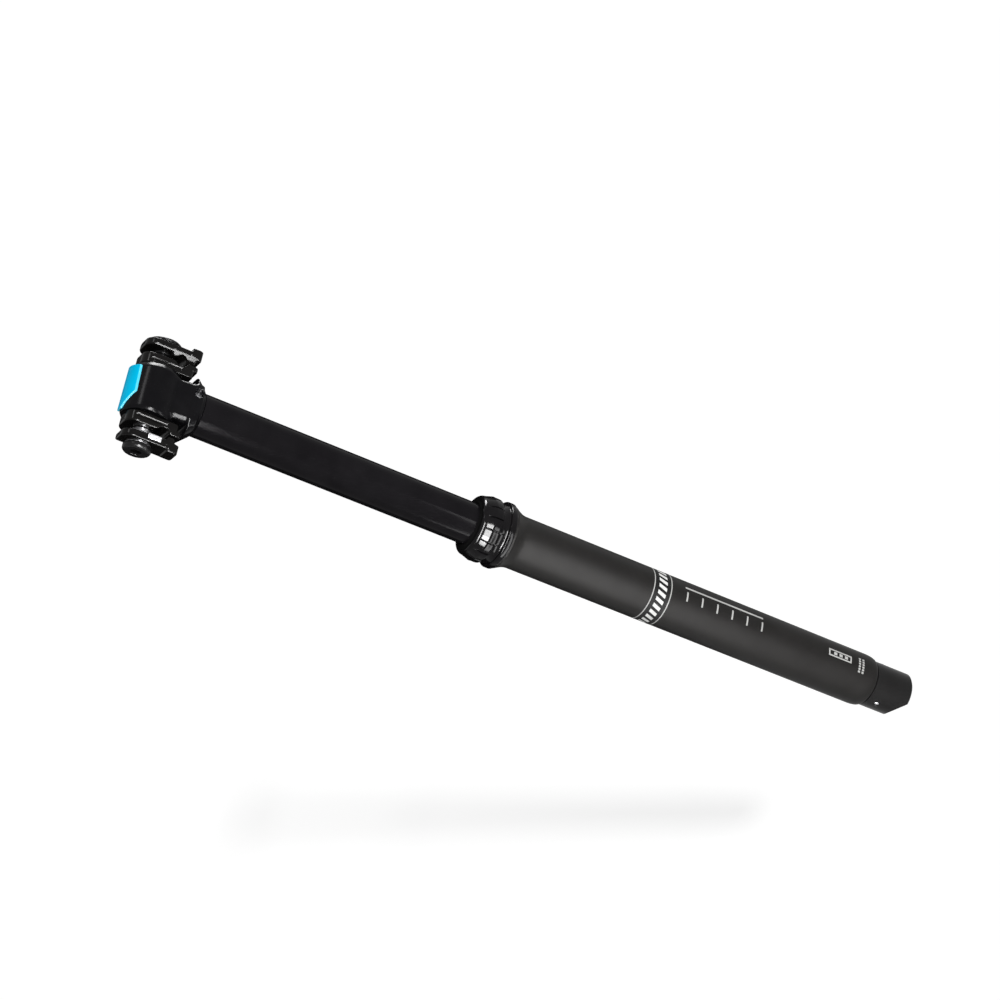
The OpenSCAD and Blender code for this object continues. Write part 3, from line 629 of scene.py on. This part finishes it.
@dataclass
class LowerTube:
    """The matte lower tube with its printed rings, bars, scale and plain marks."""

    radius: float = 15.8
    proud: float = 0.03
    sunk: float = 0.05
    arc_step: float = 2.5
    ring_heights: tuple[float, ...] = (-84.9, -96.4)
    ring_width: float = 0.6
    bars: int = 24
    bar_gap: float = 3.0
    bar_slant: float = 7.0
    tick_low: float = -160.0
    tick_half: float = 0.5
    tick_pitch: float = 10.5
    tick_count: int = 6
    dashes: int = 12
    dash_rows: float = 2.0
    dash_turn: float = 6.2
    dash_pitch: float = 2.6
    marks: tuple[tuple[str, float, float, float, float], ...] = (
        ("frame_mark", -224.6, -223.7, 1.0, 18.0),
        ("frame_mark_top", -209.0, -208.1, 1.0, 18.0),
        ("frame_side_low", -224.2, -208.5, 1.0, 4.0),
        ("frame_side_high", -224.2, -208.5, 15.0, 18.0),
        ("mark_bar_0", -221.8, -219.6, 6.0, 13.0),
        ("mark_bar_1", -217.9, -215.7, 6.0, 13.0),
        ("mark_bar_2", -214.0, -211.8, 6.0, 13.0))

    def build(self) -> None:
        """Prints the rings, the bars between them, the scale and the plain marks."""
        self._rings()
        self._bars()
        self._ticks()
        for name, *place in self.marks:
            self._print(self._band(f"printed_{name}", *place))
        self._dashes()

    def _band(self, name: str, low: float, high: float, start: float = 0.0,
              end: float = 360.0, lift: float = 1.0, slant: float = 0.0) -> Piece:
        """Makes a thin printed patch that follows the tube.

        Args:
            name: the piece's name.
            low: its lower height.
            high: its upper height.
            start: first angle in degrees from the seen side, -Y, towards +X.
            end: last angle.
            lift: share of the print's thickness.
            slant: angle in degrees by which the upper edge is turned further than the lower.

        Returns:
            The patch, closed on all sides.
        """
        steps = max(2, int(abs(end - start) / self.arc_step))
        rises = max(1, int(abs(slant)))
        outer, inner = self.radius + self.proud * lift, self.radius - self.sunk
        full = abs(end - start) >= 360.0
        heights = [low + (high - low) * i / rises for i in range(rises + 1)]
        section = [(r, z, slant * (z - low) / (high - low))
                   for r, column in ((inner, heights), (outer, heights[::-1])) for z in column]
        loop = len(section)
        points, faces = [], []
        rows = steps if full else steps + 1
        for k in range(rows):
            for r, z, lean in section:
                turn = math.radians(start + (end - start) * k / steps + lean)
                points.append((r * math.sin(turn), -r * math.cos(turn), z))
        for k in range(rows if full else rows - 1):
            a, b = loop * k, loop * ((k + 1) % rows)
            faces += [(a + i, b + i, b + (i + 1) % loop, a + (i + 1) % loop)
                      for i in range(loop)]
        if not full:
            for first in (0, loop * (rows - 1)):
                faces += [(first + i, first + i + 1, first + loop - 2 - i, first + loop - 1 - i)
                          for i in range(rises)]
        return Workshop.plain(name, points, faces)

    def _print(self, piece: Piece, finish: Finish = PRINT_GREY) -> None:
        """Puts a printed piece on the tube in a finish."""
        fitted(piece, "root", "tube_anodised", finish)

    def _rings(self) -> None:
        """Prints the two thin rings and the black band between them."""
        top, low = self.ring_heights
        half = self.ring_width / 2
        for name, height in (("printed_ring_upper", top), ("printed_ring_lower", low)):
            self._print(self._band(name, height - half, height + half))
        self._print(self._band("printed_band", low + half, top - half, lift=0.5), PRINT_BLACK)

    def _bars(self) -> None:
        """Prints slanted bars round the band by a Geometry Nodes rule."""
        top, low = self.ring_heights
        seed = self._band("printed_bars", low + self.bar_gap, top - self.bar_gap, -5.5, 2.5,
                          slant=self.bar_slant)
        rule = GeometryRule("bars_round_the_band", Bars=self.bars)
        share = rule.math("DIVIDE", rule.number(), rule.given("Bars"))
        turn = rule.math("MULTIPLY", share, 2 * math.pi)
        rule.repeat(seed, rule.line("Bars"), PRINT_WHITE, Rotation=rule.upright(turn))
        self._print(seed, PRINT_WHITE)

    def _ticks(self) -> None:
        """Prints the size scale's ticks and its line."""
        low, half = self.tick_low, self.tick_half
        tick = self._band("printed_ticks", low - half, low + half, -8, 14)
        rule = GeometryRule("ticks_up_the_tube", Ticks=self.tick_count,
                            Pitch=self.tick_pitch * MM)
        rule.repeat(tick, rule.line("Ticks", rule.upright(rule.given("Pitch"))), PRINT_GREY)
        self._print(tick)
        self._print(self._band("printed_scale_line", low - half, -106.0, 22.6, 27.0))

    def _dashes(self) -> None:
        """Prints a block of short dashes in two rows near the tube's end."""
        dash = self._band("printed_dashes", -234.0, -232.6, -12.0, -7.6)
        rule = GeometryRule("dashes_round_the_end", Dashes=self.dashes,
                            Turn=math.radians(self.dash_turn), Row=self.dash_pitch * MM)
        count = rule.number()
        column = rule.math("FLOOR", rule.math("DIVIDE", count, self.dash_rows))
        row = rule.math("MODULO", count, self.dash_rows)
        spin = rule.upright(rule.math("MULTIPLY", column, rule.given("Turn")))
        move = rule.upright(rule.math("MULTIPLY", row, rule.given("Row")))
        spread = rule.node("GeometryNodeSetPosition", Geometry=rule.line("Dashes"), Offset=move)
        rule.repeat(dash, spread.outputs[0], PRINT_GREY, Rotation=spin)
        self._print(dash)


@dataclass
class Collar:
    """The turned seal collar whose band carries notches all round."""

    low: float = 2.3
    foot: float = 9.8
    top: float = 30.4
    edge: float = 0.7
    flange_r: float = 19.9
    flange_top: float = 13.5
    groove_r: float = 18.0
    band_low: float = 18.1
    band_r: float = 19.4
    cone_low: float = 23.0
    cone_h: float = 4.6
    cone_lean: float = 17.0
    cone_steps: int = 6
    crown: float = 1.9
    seat_r: float = 15.6
    foam_low: float = 20.8
    inner_r: float = 12.9
    spigot_r: float = 15.15
    notches: int = 16
    notch_facets: int = 48
    notch_share: float = 0.14
    notch_depth: float = 1.2
    notch_turn: float = -22.0
    notch_slope: tuple[float, float] = (-0.15, 0.5)
    crease: float = 40.0

    def _profile(self) -> list[Point]:
        """Returns the collar's section, with rounded edges."""
        lean = math.tan(math.radians(self.cone_lean))
        foot_r, high = self.band_r + 0.1, self.cone_low + self.cone_h
        rises = [self.cone_h * i / self.cone_steps for i in range(self.cone_steps + 1)]
        cone = [(foot_r - lean * rise, self.cone_low + rise) for rise in rises]
        crown = arc(cone[-1][0] - self.crown - 0.1 * lean, high, self.crown, self.top - high,
                    range(82, 9, -8))
        rim, edge = self.flange_r - self.edge, self.edge
        flange = (arc(rim, self.foot + edge, edge, -edge, (0, 22, 45, 67, 90))
                  + arc(rim, self.flange_top - edge, edge, edge, (90, 68, 45, 23, 0)))
        groove = [(self.groove_r + 0.25, self.flange_top + 0.12),
                  (self.groove_r, self.flange_top + 0.5), (self.groove_r, self.band_low - 0.5),
                  (self.groove_r + 0.15, self.band_low - 0.1)]
        band = (arc(self.band_r - 1.0, self.band_low + 1.1, 0.95, -1.1, (0, 20, 40, 60, 80))
                + [(self.band_r, self.band_low + z) for z in (1.6, 2.4, 3.2, 4.0)])
        return ([(self.inner_r, self.low), (self.spigot_r, self.low), (self.spigot_r, self.foot)]
                + flange + groove + band + cone + crown
                + [(self.seat_r + 0.15, self.top - 0.02), (self.seat_r, self.top - 0.15),
                   (self.seat_r, self.foam_low), (self.inner_r, self.foam_low)])

    def build(self) -> None:
        """Turns the collar and cuts its notches by a Geometry Nodes rule."""
        piece = Workshop.revolved("collar", self._profile(), self.notches * self.notch_facets,
                                  self.crease)
        rule = GeometryRule(
            "notches_round_the_band", Notches=self.notches, Depth=self.notch_depth * MM,
            Share=self.notch_share,
            Phase=0.5 - math.radians(self.notch_turn - 90) * self.notches / (2 * math.pi),
            Low=(self.band_low - 0.3) * MM, Outer=(self.band_r - self.notch_depth - 0.2) * MM)
        where = rule.node("GeometryNodeInputPosition").outputs[0]
        x, y, z = rule.node("ShaderNodeSeparateXYZ", i0=where).outputs
        turns = rule.math("DIVIDE", rule.math("MULTIPLY", rule.math("ARCTAN2", y, x),
                                              rule.given("Notches")), 2 * math.pi)
        beat = rule.math("FRACT", rule.math("ADD", rule.given("Phase"), turns))
        off = rule.math("ABSOLUTE", rule.math("SUBTRACT", beat, 0.5))
        half = rule.math("MULTIPLY", rule.given("Share"), 0.5)
        inside = rule.math("SUBTRACT", 1.0, rule.math("DIVIDE", off, half))
        least, most = self.notch_slope
        sharp = rule.node("ShaderNodeMapRange", Value=inside, From_Min=least, From_Max=most)
        sharp.interpolation_type = "SMOOTHSTEP"
        above = rule.math("GREATER_THAN", z, rule.given("Low"))
        radius = rule.math("SQRT", rule.math("ADD", rule.math("MULTIPLY", x, x),
                                             rule.math("MULTIPLY", y, y)))
        floor = rule.math("SUBTRACT", radius, rule.given("Outer"))
        reach = rule.math("MINIMUM", rule.math("MAXIMUM", floor, 0.0), rule.given("Depth"))
        depth = rule.math("MULTIPLY", rule.math("MULTIPLY", sharp.outputs[0], above), reach)
        scale = rule.math("DIVIDE", rule.math("SUBTRACT", radius, depth), radius)
        flat = rule.node("ShaderNodeCombineXYZ", X=rule.math("MULTIPLY", x, scale),
                         Y=rule.math("MULTIPLY", y, scale), Z=z)
        moved = rule.node("GeometryNodeSetPosition", Geometry=rule.given("Geometry"),
                          Position=flat.outputs[0])
        rule.run(piece, moved.outputs[0], COLLAR_GLOSS)
        Workshop.tidy(piece, self.crease)
        fitted(piece, "root", "collar_black", COLLAR_GLOSS, "seal_collar")


@dataclass
class SaddleHead:
    """The forged head: round neck, spreading shoulders and cross barrel, with its plate."""

    neck_z: float = 202.2
    bolt_z: float = 229.7
    barrel_r: float = 14.25
    half: float = 14.5
    neck_r: float = 12.5
    neck_ease: float = 0.95
    neck_flat: float = 0.4
    neck_square: float = 1.4
    neck_slope: float = 0.8
    shoulder_x: float = 18.5
    shoulder_z: float = 208.9
    rim_in: float = 2.8
    rim_down: float = 1.5
    rim_left: float = 0.5
    block_x: float = 12.0
    block_corner: float = 3.0
    block_lean: float = 2.5
    block_blend: float = 2.5
    barrel_blend: float = 1.8
    barrel_edge: float = 0.8
    neck_y: float = 12.5
    half_deep: float = 14.5
    spigot_len: float = 9.0
    bore_r: float = 11.63
    step_r: float = 9.0
    bolt_hole_r: float = 3.55
    grub_z: float = 207.2
    grub_r: float = 2.3
    grub_dir: float = 62.0
    grub_edge: float = 0.9
    soft: float = 0.3
    quad: float = 0.42
    top_facing: float = 0.93

    def _neck(self, p: np.ndarray) -> np.ndarray:
        """Distance to the neck, whose section spreads from a circle to a broad oval."""
        low, top = self.neck_z, self.shoulder_z
        share = np.clip((p[:, 2] - low) / (top - 0.5 - low), 0.0, 1.0)
        ease = share ** self.neck_ease
        wide = self.neck_r + (self.shoulder_x - self.neck_r) * ease
        deep = self.neck_r - self.neck_flat * ease
        power = 2.0 + self.neck_square * share
        ratio = (np.abs(p[:, 0] / wide) ** power
                 + np.abs(p[:, 1] / deep) ** power) ** (1 / power)
        side = (ratio - 1.0) * np.minimum(wide, deep) * self.neck_slope
        return smooth_max(side, np.abs(p[:, 2] - (low + top) / 2) - (top - low) / 2, 1.0)

    def _block(self, p: np.ndarray) -> np.ndarray:
        """Distance to the block that rises from the neck into the barrel."""
        share = np.clip((p[:, 2] - self.shoulder_z) / (self.bolt_z - self.shoulder_z), 0.0, 1.0)
        deep, corner = self.neck_y - self.block_lean * share, self.block_corner
        u = np.abs(p[:, 0]) - self.block_x + corner
        v = np.abs(p[:, 1]) - deep + corner
        side = np.minimum(np.maximum(u, v), 0) + np.hypot(
            np.maximum(u, 0), np.maximum(v, 0)) - corner
        level = np.maximum(self.neck_z + 3.0 - p[:, 2], p[:, 2] - self.bolt_z)
        return np.maximum(side, level)

    def _barrel(self, p: np.ndarray) -> np.ndarray:
        """Distance to the cross barrel, whose ends are chamfered."""
        off = np.hypot(p[:, 1], p[:, 2] - self.bolt_z)
        along = np.abs(p[:, 0])
        body = smooth_max(off - self.barrel_r, along - self.half, self.barrel_edge)
        tall = math.hypot(self.rim_in, self.rim_down)
        share = np.where(p[:, 0] >= 0, 1.0, self.rim_left)
        slope = ((off - self.barrel_r) * self.rim_in
                 + (along - self.half + self.rim_in * share) * self.rim_down) / tall
        return smooth_max(body, slope, self.soft)

    def _grub(self, p: np.ndarray) -> np.ndarray:
        """Distance to the grub screw's hole."""
        turn = math.radians(self.grub_dir)
        ahead = np.array([math.cos(turn), -math.sin(turn), 0.0])
        local = p - np.array([0.0, 0.0, self.grub_z])
        along = local @ ahead
        off = np.linalg.norm(local - along[:, None] * ahead, axis=1) - self.grub_r
        return np.maximum(off, -along)

    def form(self) -> Form:
        """Returns the head's solid form."""
        low, high = self.neck_z - 5, self.neck_z + self.spigot_len
        body = Form(self._neck).joined(Form(self._block), self.block_blend)
        body = body.joined(Form(self._barrel), self.barrel_blend)

        def clear(p: np.ndarray) -> np.ndarray:
            """Distance to the room beside the barrel, which the clamps need."""
            return np.maximum(self.half - np.abs(p[:, 0]), self.shoulder_z - p[:, 2])

        body = body.cut(Form(clear), self.soft)
        body = body.cut(extruded(disc(self.bore_r), 2, low, high), self.soft)
        body = body.cut(extruded(disc(self.step_r), 2, low, high + 2))
        hole = extruded(disc(self.bolt_hole_r, 0.0, self.bolt_z), 0, -20, 20)
        return body.cut(hole, self.soft).cut(Form(self._grub), self.grub_edge)

    def build(self) -> None:
        """Makes the head and its plate."""
        low = (-self.shoulder_x, -self.half_deep, self.neck_z)
        high = (self.shoulder_x, self.half_deep, self.bolt_z + self.barrel_r)
        head = self.form().mesh("forged_head", low, high, self.quad)
        fitted(head, "inner_tube", "head_black", FORGED_BLACK, "head")
        plate = Workshop.softened("top_plate", "blue_plate", 0.6, 2, 40.0)
        plate.data.materials.clear()
        for finish in (PLATE_BLUE, PLATE_EDGE_HIGHLIGHT):
            plate.data.materials.append(finish.material())
        # Faces that turn away from the top get the lighter cyan: a painted highlight on the bevels.
        for face in plate.data.polygons:
            outwards = Vector((0.0, face.center.y, face.center.z - self.bolt_z * MM)).normalized()
            face.material_index = int(face.normal.dot(outwards) < self.top_facing)
        fitted(plate, "inner_tube", "plate_blue", PLATE_BLUE, "top_plate")


@dataclass
class RailClamp:
    """The two pairs of jaws that hold the saddle rails, with their cross bolt."""

    bolt_z: float = 229.7
    rail_x: float = 22.5
    rail_z: float = 220.5
    rail_r: float = 3.5
    half_y: float = 10.0
    low: float = 17.4
    rise: float = 11.8
    foot_drop: float = 2.2
    inner: float = 14.5
    face: float = 21.2
    jaw_gap: float = 1.2
    cheek_in: float = 26.0
    cheek_out: float = 30.2
    foot_x: float = 2.2
    edge: float = 0.8
    corners: tuple[float, float] = (2.5, 6.5)
    root: float = 2.5
    fillet: float = 1.2
    soft: float = 0.3
    slack: float = 0.03
    quad: float = 0.36
    shank_end: float = 30.5
    left_foot: float = 0.6
    lip_short: float = 1.5
    lip_top: float = 5.7
    bolt_r: float = 3.5
    sleeve_r: float = 4.9
    foot_low: float = 2.8
    foot_top: float = 4.5
    groove_x: float = 17.4
    groove_r: float = 0.9
    groove_out: float = 0.25
    groove_low: float = 7.0
    groove_top: float = 3.5
    bevel: float = 1.1
    bevel_edge: float = 0.4
    back_y: float = 3.5
    back_lean: float = 28.0

    def _side(self, x0: float, x1: float, z0: Optional[float] = None,
              z1: Optional[float] = None) -> Form:
        """Returns a side plate, or its part between two heights.

        Args:
            x0: where it starts from the middle plane.
            x1: where it ends.
            z0: lowest height, or None for the clamp's own.
            z1: highest height, or None for the clamp's own.

        Returns:
            The plate's form.
        """
        base, crest = self.bolt_z - self.low, self.bolt_z + self.rise
        low = base if z0 is None else min(z0, base)
        plate = extruded(round_box(-self.half_y, self.half_y, low, crest, *self.corners), 0,
                         x0, x1, self.edge)
        if z0 is None and z1 is None:
            return plate
        bottom, top = (low if z0 is None else z0), (crest if z1 is None else z1)
        slab = Form(lambda p: np.abs(p[:, 2] - (bottom + top) / 2) - (top - bottom) / 2)
        return plate.within(slab, self.edge)

    def _lip(self, x0: float, x1: float) -> Form:
        """Returns a jaw's lip above the rail, between two distances from the middle."""
        return self._side(x0, x1, self.rail_z - 1, self.rail_z + self.lip_top)

    def _rail(self) -> Form:
        """Returns the rail, longer than the jaws."""
        return extruded(disc(self.rail_r, self.rail_x, self.rail_z), 1, -20, 20)

    def _drilled(self, body: Form, radius: float) -> Form:
        """Returns the body with a hole for the bolt or the nut's sleeve."""
        hole = extruded(disc(radius + self.slack, 0, self.bolt_z), 0, 0, 40)
        return body.cut(hole, self.soft)

    def cradle(self) -> Form:
        """Returns the right side's inner jaw."""
        out, back = self.rail_x - self.jaw_gap / 2, self.face - self.root
        base = self.bolt_z - self.low
        body = self._side(self.inner, self.face)
        body = body.joined(self._side(back, out, base - self.foot_drop, self.rail_z), self.edge)
        body = body.joined(self._lip(back, out - self.lip_short), self.edge)
        body = body.cut(self._rail(), self.edge)
        groove = extruded(disc(self.groove_r, self.groove_x, -self.half_y - self.groove_out), 2,
                          base + self.groove_low, self.bolt_z + self.rise - self.groove_top)
        return self._drilled(body.cut(groove, self.soft), self.bolt_r)

    def cheek(self, hole: float, foot_x: float) -> Form:
        """Returns the right side's outer jaw.

        Args:
            hole: radius of the bolt or of the nut's sleeve.
            foot_x: how far its foot reaches outwards.

        Returns:
            The jaw's form.
        """
        jaw, back = self.rail_x + self.jaw_gap / 2, self.cheek_in + self.root
        base, lean = self.bolt_z - self.low, math.radians(self.back_lean)
        body = self._side(self.cheek_in, self.cheek_out)
        body = body.joined(self._side(jaw, back, base, self.rail_z), self.edge)
        body = body.joined(self._lip(jaw + self.lip_short, back), self.edge)
        foot = self._side(self.cheek_in, self.cheek_out + foot_x, base - self.foot_low,
                          self.rail_z - self.foot_top)
        body = body.joined(foot, self.fillet)
        body = body.within(Form(lambda p: (p[:, 0] - self.cheek_out) * math.cos(lean)
                                + (p[:, 1] - self.back_y) * math.sin(lean)), self.fillet)
        body = body.cut(self._rail(), self.edge)
        if foot_x >= self.foot_x:
            body = body.within(Form(lambda p: (self.cheek_in - p[:, 0] - self.half_y - p[:, 1]
                                               + self.bevel) * math.sqrt(0.5)),
                               self.bevel_edge)
        return self._drilled(body, hole)

    def build(self) -> None:
        """Makes the jaws, the bolt, the nut and the washers."""
        base, top = self.bolt_z - self.low - self.foot_drop, self.bolt_z + self.rise
        cradle, reach = self.cradle(), self.cheek_out + self.foot_x
        cheeks = (self.cheek(self.sleeve_r, self.foot_x),
                  self.cheek(self.bolt_r, self.foot_x * self.left_foot))
        for word, place, near, far, forms in (
                ("cradle", "inner", self.inner, self.rail_x, (cradle, cradle)),
                ("cheek", "outer", self.rail_x, reach, cheeks)):
            for side, form in zip(("right", "left"), forms):
                if side == "left":
                    form, near, far = form.mirrored(), -far, -near
                piece = form.mesh(f"{word}_{side}", (near, -self.half_y, base),
                                  (far, self.half_y, top), self.quad)
                fitted(piece, "saddle_clamp", "clamp_black", CLAMP_BLACK,
                       f"clamp_{place}_{side}")
        self._hardware()

    def _hardware(self) -> None:
        """Makes the bolt, the nut, the washers and the small bright pieces that paint highlights on
        the left jaw.
        """
        bolt = Workshop.softened("clamp_bolt", "cross_bolt", 0.3, angle=25.0)
        bolt.data.materials.clear()
        for finish in (BOLT_OXIDE, SHANK_STEEL):
            bolt.data.materials.append(finish.material())
        for face in bolt.data.polygons:
            centre = face.center / MM
            off = math.hypot(centre.y, centre.z - self.bolt_z)
            bare = off < self.bolt_r + 0.05 and -self.shank_end < centre.x < 0
            face.material_index = int(bare)
        fitted(bolt, "saddle_clamp", "bolt_black", BOLT_OXIDE, "clamp_bolt")
        nut = Workshop.softened("clamp_nut", "cross_nut", 0.25, angle=25.0)
        fitted(nut, "saddle_clamp", "bolt_black", BOLT_OXIDE, "clamp_nut")
        self._painted_highlight_pieces()
        for side in ("right", "left"):
            node = f"clamp_washer_{side}"
            washer = Workshop.softened(node, f"flat_washer_{side}", 0.15, 2)
            fitted(washer, "saddle_clamp", "washer_steel", WASHER_STEEL, node)

    def _painted_highlight_pieces(self) -> None:
        """Makes a bright steel ring on the bolt and a bright steel block in the left cheek's jaw,
        which paint highlights onto the black jaws.
        """
        # Bright steel ring between the left jaws: a painted highlight on the bolt.
        inner, outer, x0, x1, edge = 3.53, 5.2, -23.7, -21.25, 0.4
        profile = [(inner, x0), (outer - edge, x0), (outer, x0 + edge), (outer, x1 - edge),
                   (outer - edge, x1), (inner, x1)]
        ring = Workshop.revolved("highlight_ring", profile, 64)
        for vertex in ring.data.vertices:
            x, y, z = vertex.co
            vertex.co = (z, y, self.bolt_z * MM - x)
        fitted(ring, "saddle_clamp", "washer_steel", WASHER_STEEL)
        # Bright steel block on the left cheek's front: a painted highlight in the rail groove.
        x0, x1, low, top, deep = -28.5, -25.5, self.rail_z, 228.2, 2.5
        front = -self.half_y - 0.5
        insert = extruded(round_box(x0, x1, low, top, 0.5, 0.5), 1, front, front + deep, 0.25)
        piece = insert.mesh("jaw_highlight_insert", (x0, front, low), (x1, front + deep, top), 0.25)
        fitted(piece, "saddle_clamp", "washer_steel", WASHER_STEEL)


@dataclass
class Actuator:
    """The end cap of the tube with its slanted corner and the lever's pin."""

    def build(self) -> None:
        """Makes the cap and the pin with softened edges."""
        cap = Workshop.softened("actuator_housing", "end_cap", 0.35, angle=30.0)
        fitted(cap, "root", "housing_black", HOUSING_SATIN, "actuator_housing")
        pin = Workshop.softened("lever_pivot", "pivot_pin", 0.3)
        fitted(pin, "root", "pin_steel", PIN_STEEL, "lever_pivot")


# Studio


@dataclass(frozen=True)
class Panel:
    """A rectangular softbox: its place, target, size and radiance."""

    name: str
    place: tuple[float, float, float]
    target: tuple[float, float, float]
    width: float
    height: float
    radiance: float


def around(turn: float, distance: float, height: float) -> tuple[float, float, float]:
    """Returns a place by its angle in degrees from -Y towards +X, its radius and its height."""
    angle = math.radians(turn)
    return distance * math.sin(angle), -distance * math.cos(angle), height


PANELS: tuple[Panel, ...] = (
    Panel("strip_front", around(-34, 0.85, 0.25), (0, 0, 0.03), 1.1, 0.2, 132.0),
    Panel("panel_low", around(-48, 0.5, -0.25), (0, 0, -0.1), 0.95, 0.12, 24.0),
    Panel("strip_head", around(-62, 0.5, 0.112), (0, 0, 0.22), 0.3, 0.055, 140.0),
    Panel("panel_side", (0.6, 0.0, 0.28), (0, 0, 0.22), 0.2, 0.32, 60.0),
    Panel("small_top", (0.34, -0.40, 0.83), (0, 0, 0.23), 0.12, 0.12, 20.0),
)


@dataclass
class Studio:
    """The camera at the photograph's angle, the floor, the black flag, the lamps and the air."""

    floor_z: float = -0.49
    floor_half: float = 12.0
    floor_glow: float = 1.37
    glow_share: float = 0.55
    air_light: float = 0.3
    flag_steps: int = 12
    flag_start: float = 112.0
    flag_turn: float = 106.0
    flag_r: float = 600.0
    flag_top: float = 420.0
    sun_way: tuple[float, float, float] = (0.504, 2.4, -1.0)
    sun_strength: float = 3.0
    sun_size: float = 2.5
    lens: float = 96.37
    camera_rows: tuple[tuple[float, ...], ...] = (
        (0.1821, 0.8874, -0.4235, -0.6302), (-0.4699, -0.2998, -0.8302, -1.2774),
        (-0.8637, 0.3502, 0.3624, 0.5726), (0.0, 0.0, 0.0, 1.0))

    def build(self) -> None:
        """Sets up the camera, the surroundings, the floor, the flag and the lamps."""
        self._camera()
        self._surroundings()
        self._floor()
        self._flag()
        self._sun()
        for panel in PANELS:
            self._softbox(panel)

    def _camera(self) -> None:
        """Places the camera."""
        data = bpy.data.cameras.new("camera")
        camera = Workshop.placed("camera", data)
        camera.matrix_world = Matrix(self.camera_rows)
        data.lens, data.sensor_width = self.lens, 36.0
        data.clip_start, data.clip_end = 0.05, 60.0
        bpy.context.scene.camera = camera
        bpy.context.scene.view_settings.view_transform = "Standard"

    @staticmethod
    def _seen(tree: Tree) -> Socket:
        """Returns 1 for rays that show the background, and 0 for those that light."""
        path = add_node(tree, "ShaderNodeLightPath").outputs
        seen = path["Is Camera Ray"]
        for ray in ("Is Glossy Ray", "Is Transmission Ray"):
            seen = add_node(tree, "ShaderNodeMath", "MAXIMUM", i0=seen, i1=path[ray]).outputs[0]
        return seen

    @staticmethod
    def _matt(name: str, grey: float, rough: float) -> bpy.types.Material:
        """Returns a plain grey material without gloss."""
        made = bpy.data.materials.new(name)
        made.use_nodes = True
        filled(made.node_tree.nodes["Principled BSDF"], Base_Color=(grey, grey, grey, 1),
               Roughness=rough, Specular_IOR_Level=0.0)
        return made

    def _surroundings(self) -> None:
        """Makes the world pale to the eye and a dim even fill to the object."""
        world = bpy.data.worlds.new("studio_air")
        bpy.context.scene.world = world
        world.use_nodes = True
        tree = world.node_tree
        strength = add_node(tree, "ShaderNodeMapRange", Value=self._seen(tree),
                            To_Min=self.air_light, To_Max=1.0)
        filled(tree.nodes["Background"], Color=WHITE, Strength=strength.outputs["Result"])

    def _floor(self) -> None:
        """Lays the pale floor, which keeps the object's shadow."""
        h, z = self.floor_half / MM, self.floor_z / MM
        floor = Workshop.plain("floor", [(-h, -h, z), (h, -h, z), (h, h, z), (-h, h, z)],
                               [(0, 1, 2, 3)])
        material = self._matt("pale_floor", 0.9, 0.9)
        tree = material.node_tree
        glow = add_node(tree, "ShaderNodeEmission", Color=WHITE, Strength=self.floor_glow)
        share = add_node(tree, "ShaderNodeMath", "MULTIPLY", i0=self._seen(tree),
                         i1=self.glow_share)
        mix = add_node(tree, "ShaderNodeMixShader", i0=share.outputs[0],
                       i1=tree.nodes["Principled BSDF"].outputs[0], i2=glow.outputs[0])
        filled(tree.nodes["Material Output"], Surface=mix.outputs[0])
        floor.data.materials.append(material)

    def _flag(self) -> None:
        """Stands a curved black flag behind the post, seen only in its gloss."""
        points = []
        for k in range(self.flag_steps + 1):
            turn = self.flag_start + self.flag_turn * k / self.flag_steps
            points += [around(turn, self.flag_r, z) for z in (self.floor_z / MM + 1, self.flag_top)]
        faces = [(2 * k, 2 * k + 1, 2 * k + 3, 2 * k + 2) for k in range(self.flag_steps)]
        flag = Workshop.plain("black_flag", points, faces)
        flag.data.materials.append(self._matt("flag_black", 0.01, 1.0))
        flag.visible_camera = flag.visible_diffuse = flag.visible_shadow = False
        flag.visible_transmission = False

    @staticmethod
    def _lamp(data: bpy.types.Light, way: Vector) -> Piece:
        """Returns a lamp that shines the given way."""
        lamp = Workshop.placed(data.name, data)
        lamp.rotation_mode = "QUATERNION"
        lamp.rotation_quaternion = way.to_track_quat("-Z", "Y")
        return lamp

    def _sun(self) -> None:
        """Adds the soft key light that casts the shadow and isn't seen in the gloss."""
        data = bpy.data.lights.new("key_sun", "SUN")
        data.energy, data.angle = self.sun_strength, math.radians(self.sun_size)
        self._lamp(data, Vector(self.sun_way)).visible_glossy = False

    def _softbox(self, panel: Panel) -> None:
        """Adds a rectangular lamp that is seen only in the gloss of the surfaces."""
        data = bpy.data.lights.new(panel.name, "AREA")
        data.shape, data.size, data.size_y = "RECTANGLE", panel.width, panel.height
        data.energy = panel.radiance * math.pi * panel.width * panel.height
        lamp = self._lamp(data, Vector(panel.target) - Vector(panel.place))
        lamp.location = panel.place
        lamp.visible_diffuse = False


def dress_nodes() -> None:
    """Gives every CAD node its finish."""
    for name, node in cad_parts.items():
        node.data.materials.clear()
        node.data.materials.append(NODE_FINISH[name].material())


def main() -> None:
    """Builds the post's fine pieces in order, then the studio."""
    logging.basicConfig(level=logging.INFO, format="%(name)s: %(message)s")
    dress_nodes()
    for part in (LowerTube(), Collar(), SaddleHead(), RailClamp(), Actuator()):
        part.build()
        LOG.info("%s is built", type(part).__name__)
    Studio().build()


if __name__ == "__main__":
    main()
